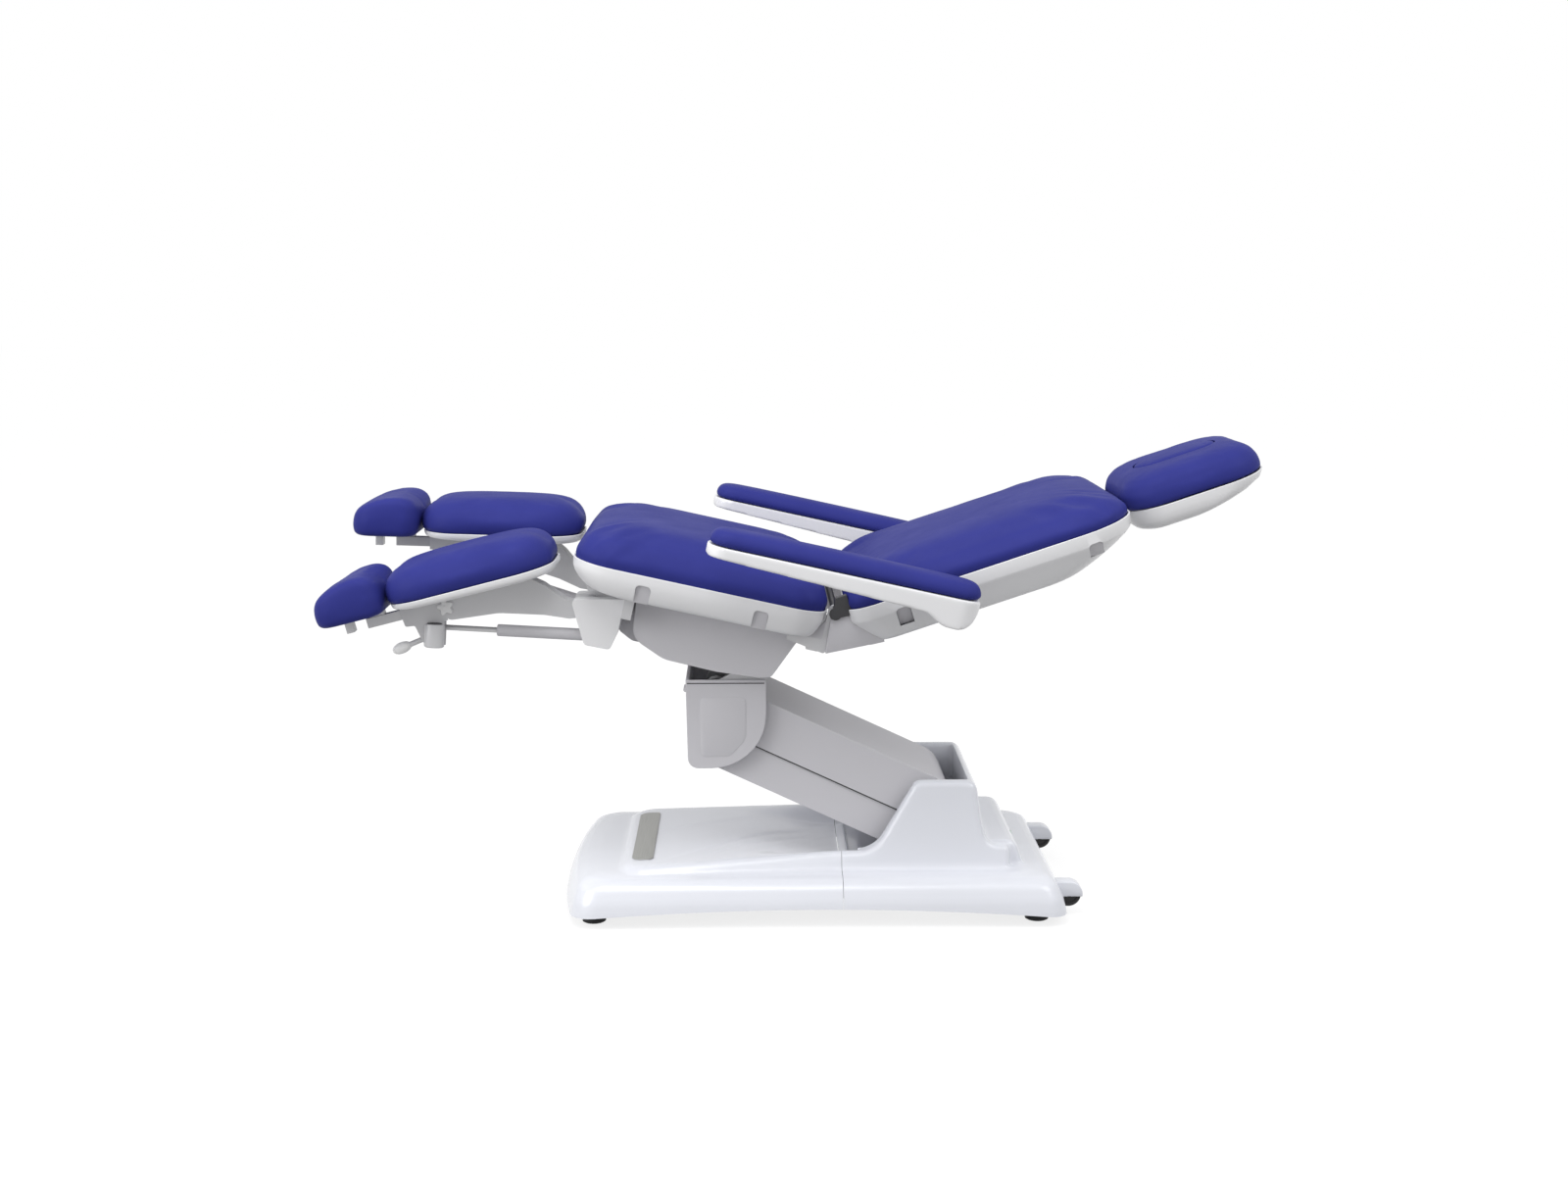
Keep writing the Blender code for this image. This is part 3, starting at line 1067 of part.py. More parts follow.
def gas_spring(seat, name, side, turn):
    angle = math.radians(turn)
    end_x = LEG_PIVOT_X + SPRING_END_X * math.cos(angle) + SPRING_END_Z * math.sin(angle)
    end_z = LEG_PIVOT_Z - SPRING_END_X * math.sin(angle) + SPRING_END_Z * math.cos(angle)
    length = math.hypot(end_x - ANCHOR_X, end_z - ANCHOR_Z)
    pitch = math.degrees(math.atan2(end_z - ANCHOR_Z, ANCHOR_X - end_x))
    axis = frame(f"spring_axis_{name}", seat, (ANCHOR_X, side * LEG_Y, ANCHOR_Z), pitch)
    tube = add(f"gas_cylinder_{name}", rod((-0.014, 0, 0), (-CYLINDER_LENGTH, 0, 0), SPRING_RADIUS),
               "steel", axis)
    fuse(tube, across(0.0, 0.0, 0.010, 0.009, 16), box(-0.020, -0.006, -0.006, 0.006, -0.006, 0.006))
    cut(tube, hole(0.0, 0.0, ANCHOR_SHAFT),
        rod((-0.040, 0, 0), (-CYLINDER_LENGTH - 0.05, 0, 0), SPRING_ROD + RUN, 12))
    stem = add(f"gas_rod_{name}",
               rod((-CYLINDER_LENGTH + 0.080, 0, 0), (-length - 0.004, 0, 0), SPRING_ROD, 12),
               "steel", axis)
    barrel_x = -length - 0.014
    fuse(stem, rod((barrel_x, 0, -0.036), (barrel_x, 0, 0.012), 0.0115, 16),
         box(barrel_x - 0.030, barrel_x, -0.004, 0.004, -0.032, -0.010))
    lever_x = barrel_x - 0.024
    fuse(stem, across(lever_x, LEVER_DROP, 0.004, 0.0110, 12))
    hinge = frame(f"lever_axis_{name}", axis, (lever_x, 0.0, LEVER_DROP), LEVER_LEAN)
    root = filleted([(-0.020, -0.0035, 0.0), (0.0085, -0.0080, 0.006), (0.0085, 0.0080, 0.006),
                     (-0.020, 0.0035, 0.0)], 3)
    near, far = sorted((side * 0.0045, side * 0.0100))
    lever = add(f"release_lever_{name}", prism(root, near, far), "paint", hinge)
    fuse(lever, rod((-0.016, side * 0.0072, 0.0), (-0.048, side * 0.0072, -0.006), 0.0035, 10))
    knob = [(0.004, 0.0), (0.0085, 0.006), (0.0108, 0.015), (0.0105, 0.023), (0.0080, 0.031),
            (0.0030, 0.035)]
    fuse(lever, moved(moved(turned(knob, 12), turn=(-100.0, "Y")), (-0.042, side * 0.0072, -0.005)))
    cut(lever, hole(0.0, 0.0, 0.004))


def main():
    clear_scene()
    chair = frame("chair", None, (BASE_X, 0.0, 0.0))
    base_frame(chair)
    front_base_cover(chair)
    rear_base_cover(chair)
    feet_and_wheels(chair)
    base_fittings(chair)
    head = lift(chair)
    seat = frame("seat_axis", head, (TILT_X, 0.0, TILT_Z), SEAT_ANGLE)
    seat_frame(seat)
    belly_pan(seat)
    seat_shell(seat)
    pad("seat_cushion", SEAT_FRONT, SEAT_REAR, SEAT_HALF_WIDTH, SEAT_FRONT_CORNER, SEAT_REAR_CORNER,
        SEAT_CUSHION_LOW, SEAT_TRAY_TOP, SEAT_CUSHION_TOP, seat)
    tilt_drive(seat)
    back_drive(seat)
    back = hinge_pin(seat)
    back_frame(back)
    back_shell(back)
    pad("back_cushion", BACK_FRONT, BACK_END, BACK_HALF_WIDTH, BACK_FRONT_CORNER, BACK_END_CORNER,
        BACK_CUSHION_LOW, BACK_TRAY_TOP, BACK_CUSHION_TOP, back)
    for name, side in LEG_SIDES.items():
        armrest(back, name, side)
    headrest(back)
    for name, side in LEG_SIDES.items():
        leg_casting(seat, name, side)
        leg_rest(seat, name)


if __name__ == "__main__":
    main()
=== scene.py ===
"""Looks of a motorised treatment table: sewn pads, moulded shells, lift, base and a plain studio.

Runs in Blender 4.5 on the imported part. The classes form an add-on: settings, one operator for each
group of pieces, one for the stage, and a panel. main() runs the operators in order.
"""
import json
import math

import bmesh
import bpy
from bpy.props import FloatProperty, FloatVectorProperty, PointerProperty
from mathutils import Matrix, Vector

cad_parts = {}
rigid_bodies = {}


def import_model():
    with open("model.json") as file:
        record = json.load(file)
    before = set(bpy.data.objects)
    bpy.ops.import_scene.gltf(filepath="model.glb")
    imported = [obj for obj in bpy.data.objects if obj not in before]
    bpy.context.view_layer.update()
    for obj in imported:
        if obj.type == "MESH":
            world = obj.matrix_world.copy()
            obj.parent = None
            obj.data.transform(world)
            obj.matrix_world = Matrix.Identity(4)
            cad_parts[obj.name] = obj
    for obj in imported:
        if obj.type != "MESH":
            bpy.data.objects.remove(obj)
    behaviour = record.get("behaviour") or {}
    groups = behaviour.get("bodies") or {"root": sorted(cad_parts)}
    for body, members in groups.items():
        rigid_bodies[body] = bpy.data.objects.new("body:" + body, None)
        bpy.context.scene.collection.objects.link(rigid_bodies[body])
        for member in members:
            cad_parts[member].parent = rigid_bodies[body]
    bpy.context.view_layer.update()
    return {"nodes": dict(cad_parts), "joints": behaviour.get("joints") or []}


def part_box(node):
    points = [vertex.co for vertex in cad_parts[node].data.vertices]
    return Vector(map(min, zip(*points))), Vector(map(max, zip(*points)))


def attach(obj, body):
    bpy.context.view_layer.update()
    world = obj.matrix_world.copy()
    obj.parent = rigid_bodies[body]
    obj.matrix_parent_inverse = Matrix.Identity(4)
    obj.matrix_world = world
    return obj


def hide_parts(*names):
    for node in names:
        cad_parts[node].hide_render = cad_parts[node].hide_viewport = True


bl_info = {
    "name": "Treatment Table Looks",
    "version": (1, 0, 0),
    "blender": (4, 5, 0),
    "location": "3D View > Sidebar > Table",
    "description": "Builds the visible pieces of a treatment table and a plain studio",
    "category": "Object",
}

for spare in list(bpy.data.objects):
    bpy.data.objects.remove(spare)
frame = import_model()

NODES = frame["nodes"]
JOINTS = {joint["name"]: joint for joint in frame["joints"]}
SIDES = {"near": -1.0, "far": 1.0}
SEAM_X = 0.054
LOOKS = {}
CLOTH_FRAMES = 20
PAD_HOLD = 0.004
CLIP_DEPTH = 0.0055
BASE_PLAN = (-0.482, 0.500, 0.280)
BASE_CORNER = 0.042
PLATEAU_PLAN = (-0.402, 0.404, 0.1985)
PLATEAU_FOOT = 0.085
PLATEAU_FLAT = 0.118
LINER_HALF = 0.1495
COAT_ROUGHNESS = 0.08
DUST_SHARE = 0.04
DUST_COLOUR = (0.55, 0.54, 0.51, 1.0)
FLOOR_COLOUR = (0.25, 0.25, 0.25, 1.0)
FLOOR_GLOW = 0.80
SENSOR_WIDTH = 36.0
SLOTS = {"cast": "paint", "knob": "shell", "rubber": "black", "rocker": "green"}


# Settings

def colour(name, description, red, green, blue):
    return FloatVectorProperty(name=name, description=description, subtype="COLOR", size=3, min=0.0,
                               max=1.0, default=(red, green, blue))


def watts(name, description, default):
    return FloatProperty(name=name, description=f"{description} in watts", default=default, min=0.0)


def length(name, description, default):
    return FloatProperty(name=name, description=description, default=default, min=0.0, unit="LENGTH",
                         precision=4)


class TableColours(bpy.types.PropertyGroup):
    """Base colours of the finishes."""

    vinyl: colour("Vinyl", "Blue cover of the pads", 0.029, 0.034, 0.205)
    shell: colour("Shell", "White trays and armrest shells", 0.79, 0.79, 0.805)
    cover: colour("Cover", "Light grey covers of the lift and the belly", 0.60, 0.592, 0.622)
    gloss: colour("Base", "Bluish white covers of the base", 0.74, 0.755, 0.81)
    steel: colour("Steel", "Tubes, rods and bars", 0.50, 0.50, 0.51)
    cast: colour("Casting", "Grey painted castings", 0.63, 0.63, 0.645)
    knob: colour("Knob", "White clamp and lever knobs", 0.90, 0.90, 0.90)
    plate: colour("Plate", "Bare plate on the base", 0.42, 0.42, 0.40)
    rubber: colour("Rubber", "Feet and tyres", 0.012, 0.012, 0.013)
    # Dark plastic is also the colour of the painted shade strips at the lift cover's parting line and the
    # head cover's seam.
    dark: colour("Dark plastic", "Drives and hinge brackets", 0.030, 0.030, 0.033)
    rocker: colour("Rocker", "Lit rocker of the mains switch", 0.020, 0.36, 0.075)


class PadSizes(bpy.types.PropertyGroup):
    """How the pads are stuffed."""

    pressure: FloatProperty(name="Pressure", description="Push of the filling", default=4.0, min=0.0)
    large_grid: length("Large grid", "Cloth grid of the seat and the back", 0.007)
    small_grid: length("Small grid", "Cloth grid of the other pads", 0.005)
    large_swell: length("Large swell", "Furthest that a large pad swells", 0.022)
    firm_swell: length("Firm swell", "Furthest that the headrest's pad swells", 0.002)
    small_swell: length("Small swell", "Furthest that a small pad swells", 0.009)


class MouldSizes(bpy.types.PropertyGroup):
    """Edges and walls of the hard pieces."""

    wall: length("Wall", "Thickness of a moulded wall", 0.004)
    edge: length("Edge", "Rounding of a moulded edge", 0.0030)
    sheet_edge: length("Sheet edge", "Rounding of a cut steel edge", 0.0012)
    base_grid: length("Base grid", "Grid on which the base's forms are blended", 0.004)
    parting: length("Parting", "Gap between the two halves of the base", 0.0011)


class StageSettings(bpy.types.PropertyGroup):
    """Camera and light."""

    camera_place: FloatVectorProperty(name="Camera place", description="Where the camera stands",
                                      subtype="TRANSLATION", unit="LENGTH", default=(-0.0931, -3.93, 1.298))
    camera_pitch: FloatProperty(name="Camera pitch", description="Camera's tilt from straight down",
                                subtype="ANGLE", default=math.radians(80.5))
    camera_yaw: FloatProperty(name="Camera yaw", description="Camera's turn about the upright",
                              subtype="ANGLE", default=math.radians(-1.04))
    lens: FloatProperty(name="Lens", description="Focal length for a sensor 36 mm wide", default=43.45,
                        unit="CAMERA")
    key_power: watts("Key power", "Power of the overhead lamp", 60.0)
    fill_power: watts("Fill power", "Power of the lamp beyond the foot end", 40.0)
    rear_power: watts("Rear power", "Power of the lamp beyond the head end", 25.0)
    sky: FloatProperty(name="Sky", description="Strength of the even light around", default=0.80, min=0.0)


class TableSettings(bpy.types.PropertyGroup):
    """All settings of the table."""

    colours: PointerProperty(type=TableColours)
    pads: PointerProperty(type=PadSizes)
    mould: PointerProperty(type=MouldSizes)
    stage: PointerProperty(type=StageSettings)


def settings():
    return bpy.context.scene.treatment_table


# Frames of the tilted groups

def turned_frame(pivot, pitch):
    return Matrix.Translation(JOINTS[pivot]["pos_m"]) @ Matrix.Rotation(pitch, 4, "Y")


def slide_pitch(slide, sign=1.0):
    """Pitch of a group, read from a slide that runs along it."""
    axis = Vector(JOINTS[slide]["axis"]) * sign
    return math.atan2(-axis.z, axis.x)


def group_frames():
    seat_pitch = slide_pitch("tilt_screw")
    back_pitch = slide_pitch("headrest_slide")
    places = {"seat": turned_frame("seat_tilt", seat_pitch),
              "back": turned_frame("back_recline", back_pitch),
              "headrest": turned_frame("headrest_tilt", back_pitch),
              "head": turned_frame("head_level", 0.0),
              "base": Matrix.Translation((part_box("front_base_cover")[1][0] - SEAM_X, 0.0, 0.0))}
    reach = Vector(JOINTS["head_level"]["pos_m"]) - Vector(JOINTS["lift"]["pos_m"])
    places["arm"] = turned_frame("lift", math.atan2(reach.z, -reach.x))
    upright = JOINTS["rocker"]["axis"]
    places["panel"] = turned_frame("rocker", math.atan2(upright[0], upright[2]))
    for name in SIDES:
        places[f"armrest_{name}"] = turned_frame(f"armrest_{name}", seat_pitch)
        places[f"leg_{name}"] = turned_frame(f"leg_{name}", slide_pitch(f"foot_{name}", -1.0))
        places[f"spring_{name}"] = turned_frame(f"spring_swing_{name}",
                                                slide_pitch(f"spring_stroke_{name}", -1.0))
    return places


PLACES = group_frames()


def extent(node, place):
    """Two corners of a node's box in a group's frame."""
    back = PLACES[place].inverted()
    points = [back @ vertex.co for vertex in NODES[node].data.vertices]
    return (Vector([min(point[axis] for point in points) for axis in range(3)]),
            Vector([max(point[axis] for point in points) for axis in range(3)]))


# Shapes

def clamped(share):
    return min(max(share, 0.0), 1.0)


def eased(share):
    share = clamped(share)
    return share * share * (3.0 - 2.0 * share)


def between(side, first, second):
    """Two distances from the middle plane as limits in Y on one side."""
    return sorted((side * first, side * second))


def meshed(bm, name="temporary"):
    mesh = bpy.data.meshes.new(name)
    bm.to_mesh(mesh)
    bm.free()
    return mesh


def opened(mesh):
    bm = bmesh.new()
    bm.from_mesh(mesh)
    return bm


def placed(name, data):
    item = bpy.data.objects.new(name, data)
    bpy.context.scene.collection.objects.link(item)
    return item


def closed(bm):
    bmesh.ops.holes_fill(bm, edges=bm.edges[:])
    bmesh.ops.recalc_face_normals(bm, faces=bm.faces[:])
    return bm


def rounded(bm, geom, offset, segments, affect="VERTICES"):
    bmesh.ops.bevel(bm, geom=geom, offset=offset, offset_type="OFFSET", affect=affect, segments=segments,
                    profile=0.5, clamp_overlap=affect == "EDGES", material=-1)


def extruded(bm):
    """Extrudes all the faces of a mesh and gives the new corners."""
    made = bmesh.ops.extrude_face_region(bm, geom=bm.faces[:])["geom"]
    return [item for item in made if isinstance(item, bmesh.types.BMVert)]


def sheet(x0, x1, half, front, rear, steps=10, cuts=0):
    """A flat face with rounded corners."""
    bm = bmesh.new()
    bmesh.ops.create_grid(bm, x_segments=1, y_segments=1, size=0.5)
    for vert in bm.verts:
        vert.co.x = x0 + (vert.co.x + 0.5) * (x1 - x0)
        vert.co.y *= 2.0 * half
    middle = (x0 + x1) / 2.0
    for radius, verts in ((front, [v for v in bm.verts if v.co.x < middle]),
                          (rear, [v for v in bm.verts if v.co.x > middle])):
        rounded(bm, verts, radius, steps)
    if cuts:
        long_edges = [edge for edge in bm.edges if edge.calc_length() > 2.0 * max(front, rear) / steps]
        bmesh.ops.subdivide_edges(bm, edges=long_edges, cuts=cuts)
    return bm


def fitted(verts, old, new):
    """Moves an outline from one level (x0, x1, half, z) to another."""
    for vert in verts:
        vert.co.x = new[0] + (vert.co.x - old[0]) * (new[1] - new[0]) / (old[1] - old[0])
        vert.co.y *= new[2] / old[2]
        vert.co.z = new[3]


def grown(plan, front, rear, levels, cuts=0):
    """A rounded plan (x0, x1, half) extruded through levels (x0, x1, half, z)."""
    bm = sheet(*plan, front, rear, cuts=cuts)
    cap = bm.faces[:][0]
    old = (*plan, 0.0)
    for number, new in enumerate(levels):
        if number:
            made = bmesh.ops.extrude_face_region(bm, geom=[cap])["geom"]
            if number > 1:
                bmesh.ops.delete(bm, geom=[cap], context="FACES_ONLY")
            cap = [item for item in made if isinstance(item, bmesh.types.BMFace)][0]
        fitted(cap.verts, old, new)
        old = new
    return closed(bm)


def stepped(plan, front, rear, steps, cuts=0):
    """A rounded plan (x0, x1, half) drawn in by (inset, height) steps."""
    x0, x1, half = plan
    levels = [(x0 + inset, x1 - inset, half - inset, z) for inset, z in steps]
    return grown(plan, front, rear, levels, cuts)


def outline(corners, low, high, steps=8):
    """A prism across Y of a side outline whose corners (x, z, radius) are rounded."""
    bm = bmesh.new()
    verts = [bm.verts.new((x, low, z)) for x, z, radius in corners]
    bm.faces.new(verts)
    count = len(corners)
    for index, (x, z, radius) in enumerate(corners):
        if radius:
            here = Vector((x, z))
            before = Vector(corners[index - 1][:2]) - here
            after = Vector(corners[(index + 1) % count][:2]) - here
            reach = radius / math.tan(before.angle(after) / 2.0)
            rounded(bm, [verts[index]], reach, steps)
    bmesh.ops.translate(bm, vec=(0.0, high - low, 0.0), verts=extruded(bm))
    return closed(bm)


def block(x0, x1, y0, y1, z0, z1):
    bm = bmesh.new()
    size = Matrix.Diagonal((x1 - x0, y1 - y0, z1 - z0, 1.0))
    middle = Matrix.Translation(((x0 + x1) / 2.0, (y0 + y1) / 2.0, (z0 + z1) / 2.0))
    bmesh.ops.create_cube(bm, size=1.0, matrix=middle @ size)
    return bm


def bar(start, end, radius, end_radius=None, segments=40):
    bm = bmesh.new()
    run = Vector(end) - Vector(start)
    turn = run.to_track_quat("Z", "Y").to_matrix().to_4x4()
    middle = Matrix.Translation((Vector(start) + Vector(end)) / 2.0)
    bmesh.ops.create_cone(bm, cap_ends=True, segments=segments, radius1=radius,
                          radius2=radius if end_radius is None else end_radius, depth=run.length,
                          matrix=middle @ turn)
    return bm


def lathe(profile, place=Matrix.Identity(4), steps=48):
    """A turned piece from (radius, height) points, about Z."""
    bm = bmesh.new()
    verts = [bm.verts.new((radius, 0.0, height)) for radius, height in profile]
    edges = [bm.edges.new(pair) for pair in zip(verts, verts[1:])]
    bmesh.ops.spin(bm, geom=verts + edges, cent=(0, 0, 0), axis=(0, 0, 1), angle=math.tau, steps=steps,
                   use_merge=True)
    bmesh.ops.remove_doubles(bm, verts=bm.verts[:], dist=1e-6)
    closed(bm).transform(place)
    return bm


def together(*shapes):
    """Several shapes in one mesh, left as they are."""
    whole = bmesh.new()
    for shape in shapes:
        mesh = meshed(shape)
        whole.from_mesh(mesh)
        bpy.data.meshes.remove(mesh)
    return whole


def temporary(bm):
    return placed("temporary", meshed(bm))


def settled(item):
    """The mesh of a temporary object after its modifiers, as a bmesh; the object goes."""
    graph = bpy.context.evaluated_depsgraph_get()
    mesh = bpy.data.meshes.new_from_object(item.evaluated_get(graph))
    bm = opened(mesh)
    bpy.data.meshes.remove(mesh)
    old = item.data
    bpy.data.objects.remove(item)
    bpy.data.meshes.remove(old)
    return bm


def modified(bm, *modifiers):
    item = temporary(bm)
    for kind, values in modifiers:
        modifier = item.modifiers.new(kind.lower(), kind)
        for name, value in values.items():
            setattr(modifier, name, value)
    return settled(item)


def joined(bm, tool, operation, solver="MANIFOLD"):
    other = temporary(tool)
    result = modified(bm, ("BOOLEAN", {"operation": operation, "object": other, "solver": solver}))
    mesh = other.data
    bpy.data.objects.remove(other)
    bpy.data.meshes.remove(mesh)
    if len(result.faces) < 4:
        raise RuntimeError(f"a {operation} left nothing")
    return result


def cut_by(bm, *tools):
    for tool in tools:
        bm = joined(bm, tool, "DIFFERENCE")
    return bm


def blended(bm, grid, rounds, factor=0.5):
    """One soft skin over all the shapes of a mesh."""
    return modified(bm, ("REMESH", {"mode": "VOXEL", "voxel_size": grid}),
                    ("SMOOTH", {"factor": factor, "iterations": rounds}))


def softened(bm, width, angle=30.0, segments=2):
    """Rounds the edges that are sharper than an angle."""
    bmesh.ops.remove_doubles(bm, verts=bm.verts[:], dist=1e-5)
    bmesh.ops.dissolve_limit(bm, angle_limit=math.radians(1.0), verts=bm.verts[:], edges=bm.edges[:])
    limit = math.radians(angle)
    edges = [edge for edge in bm.edges if len(edge.link_faces) == 2 and edge.calc_face_angle() > limit]
    rounded(bm, edges, width, segments, "EDGES")
    return bm


# Pieces

def piece(name, bm, look, body, place=None, replaces=(), sharp=40.0, subdivide=0, slot=None):
    """A finished object: its place is in its mesh, and it rides on a body."""
    if place:
        bm.transform(PLACES[place])
    bmesh.ops.recalc_face_normals(bm, faces=bm.faces[:])
    mesh = meshed(bm, name)
    mesh.materials.append(LOOKS[look])
    mesh.shade_smooth()
    mesh.set_sharp_from_angle(angle=math.radians(sharp))
    item = placed(name, mesh)
    if subdivide:
        finer = item.modifiers.new("finer", "SUBSURF")
        finer.levels = subdivide
        finer.render_levels = subdivide
    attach(item, body)
    slot = slot or SLOTS.get(look, look)
    if replaces:
        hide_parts(*replaces)
    return item


def dressed(node, look, body, width=None, angle=30.0):
    """A copy of a CAD node with rounded edges."""
    width = settings().mould.sheet_edge if width is None else width
    bm = softened(opened(NODES[node].data), width, angle)
    item = piece(f"{node}_look", bm, look, body, replaces=(node,), sharp=35.0)
    item.modifiers.new("even", "WEIGHTED_NORMAL").keep_sharp = True


def stuffed(bm, held, swell, pressure):
    """Pushes a pad's cover out like a filling does, and holds what lies below a height."""
    item = temporary(bm)
    rest = [vertex.co.copy() for vertex in item.data.vertices]
    group = item.vertex_groups.new(name="held")
    for index, point in enumerate(rest):
        weight = clamped((held + swell - point.z) / swell)
        if weight > 0.0:
            group.add([index], weight, "REPLACE")
    cloth = item.modifiers.new("cloth", "CLOTH")
    cloth.settings.vertex_group_mass = group.name
    cloth.settings.use_pressure = True
    cloth.settings.uniform_pressure_force = pressure
    cloth.settings.effector_weights.gravity = 0.0
    cloth.settings.quality = 4
    cloth.settings.tension_stiffness = 25.0
    cloth.settings.compression_stiffness = 25.0
    cloth.settings.bending_stiffness = 2.0
    cloth.point_cache.frame_start = 1
    cloth.point_cache.frame_end = CLOTH_FRAMES
    scene = bpy.context.scene
    for number in range(1, CLOTH_FRAMES + 1):
        scene.frame_set(number)
    bm = settled(item)
    scene.frame_set(1)
    for vertex, start in zip(bm.verts, rest):
        move = vertex.co - start
        vertex.co = start + move * (swell / (swell + move.length))
    return bm


def sewn_pad(name, bm, held, grid, swell, body, place, nodes, rounds=5, hole=None):
    """A stuffed pad that takes the place of its CAD solid."""
    bm = blended(bm, grid, 6)
    bm = stuffed(bm, held, swell, settings().pads.pressure)
    for _ in range(rounds):
        bmesh.ops.smooth_vert(bm, verts=bm.verts[:], factor=0.5, use_axis_x=True, use_axis_y=True,
                              use_axis_z=True)
    if hole is not None:
        bm = cut_by(bm, hole)
    whole = hole is None
    item = piece(name, bm, "vinyl", body, place, nodes, sharp=180.0 if whole else 50.0, subdivide=int(whole))


def pad_form(x0, x1, half, front, rear, low, rim, top, wall, spread=1.0):
    """A pad before it is stuffed: a foot inside the tray, full sides and a crown."""
    rise = top - rim
    levels = ((wall + 0.006, low), (wall + 0.002, rim), (0.003, rim + 0.001), (0.0015, rim + rise * 0.16),
              (0.003, rim + rise * 0.42), (0.0115, rim + rise * 0.70), (0.025, rim + rise * 0.88),
              (0.048 * spread, rim + rise * 0.955), (0.085 * spread, rim + rise * 0.985))
    return stepped((x0, x1, half), front, rear, levels)


def tray_form(x0, x1, half, front, rear, low, top, profile, trims=(0.0, 0.0), wall=0.004):
    """A moulded tray from (share of height, inset) points, with ends that may rise."""
    def ring(share, inset, raised):
        fall = (1.0 - share) ** 2.2
        return (x0 + inset + trims[0] * fall, x1 - inset - trims[1] * fall, half - inset,
                low + (top - low) * share + raised)

    outer = [ring(share, inset, 0.0) for share, inset in profile]
    lip = [ring(1.0, 0.0008, 0.0), ring(1.0, wall - 0.0008, 0.0)]
    inner = [ring(share, inset + wall, wall * (1.0 - share)) for share, inset in reversed(profile)]
    levels = outer[:-1] + [ring(1.0, 0.0, -0.0008)] + lip + [ring(1.0, wall, -0.0008)] + inner[1:]
    return grown((x0, x1, half), front, rear, levels, cuts=6)


# Materials

def wired(tree, kind, inputs, **values):
    """A node whose inputs, by name or number, are set or linked."""
    node = tree.nodes.new(kind)
    for name, value in values.items():
        setattr(node, name, value)
    for socket, value in inputs.items():
        if isinstance(value, bpy.types.NodeSocket):
            tree.links.new(value, node.inputs[socket])
        else:
            node.inputs[socket].default_value = value
    return node


def noise(tree, where, scale, detail=3.0, roughness=0.5):
    inputs = {"Vector": where, "Scale": scale, "Detail": detail, "Roughness": roughness}
    return wired(tree, "ShaderNodeTexNoise", inputs).outputs["Fac"]


def ranged(tree, value, low, high, new_low=0.0, new_high=1.0):
    inputs = {"Value": value, "From Min": low, "From Max": high, "To Min": new_low, "To Max": new_high}
    return wired(tree, "ShaderNodeMapRange", inputs, clamp=True).outputs["Result"]


def combined(tree, operation, first, second):
    return wired(tree, "ShaderNodeMath", {0: first, 1: second}, operation=operation).outputs["Value"]


def mixed(tree, share, first, second):
    return wired(tree, "ShaderNodeMix", {0: share, 6: first, 7: second}, data_type="RGBA").outputs[2]


def new_group(name):
    """An empty shader group, and the object's coordinates in it."""
    group = bpy.data.node_groups.new(name, "ShaderNodeTree")
    return group, wired(group, "ShaderNodeTexCoord", {}).outputs["Object"]


def finished_group(group, **outputs):
    for name in outputs:
        group.interface.new_socket(name, in_out="OUTPUT", socket_type="NodeSocketFloat")
    wired(group, "NodeGroupOutput", outputs)
    return group


def grain_group():
    """Leather grain: small cells with creases between them, and a slow unevenness."""
    group, where = new_group("Vinyl grain")
    cells = wired(group, "ShaderNodeTexVoronoi", {"Vector": where, "Scale": 620.0, "Smoothness": 0.6},
                  feature="SMOOTH_F1")
    height = combined(group, "ADD", cells.outputs["Distance"], noise(group, where, 240.0, 2.0))
    tone = ranged(group, noise(group, where, 9.0, 4.0, 0.6), 0.3, 0.7)
    return finished_group(group, Height=height, Tone=tone)


def skin_group():
    """Moulded skin: a fine orange peel and slow waves."""
    group, where = new_group("Moulded skin")
    group.interface.new_socket("Scale", in_out="INPUT", socket_type="NodeSocketFloat")
    start = group.nodes.new("NodeGroupInput")
    fine = noise(group, where, start.outputs["Scale"], 2.0)
    waves = ranged(group, noise(group, where, 4.0, 2.0), 0.0, 1.0)
    return finished_group(group, Height=fine, Tone=waves)


def dust_group():
    """Dust that lies on faces turned upwards, in soft patches."""
    group, where = new_group("Dust")
    normal = wired(group, "ShaderNodeNewGeometry", {}).outputs["Normal"]
    upward = ranged(group, wired(group, "ShaderNodeSeparateXYZ", {0: normal}).outputs["Z"], 0.55, 0.98)
    patches = ranged(group, noise(group, where, 14.0, 6.0, 0.65), 0.42, 0.72)
    return finished_group(group, Mask=combined(group, "MULTIPLY", upward, patches))


def brush_group():
    """Brush marks that run along Y."""
    group, where = new_group("Brush marks")
    stretch = wired(group, "ShaderNodeMapping", {"Vector": where, "Scale": (900.0, 12.0, 900.0)})
    lines = noise(group, stretch.outputs["Vector"], 1.0)
    return finished_group(group, Height=lines, Tone=ranged(group, lines, 0.3, 0.7))


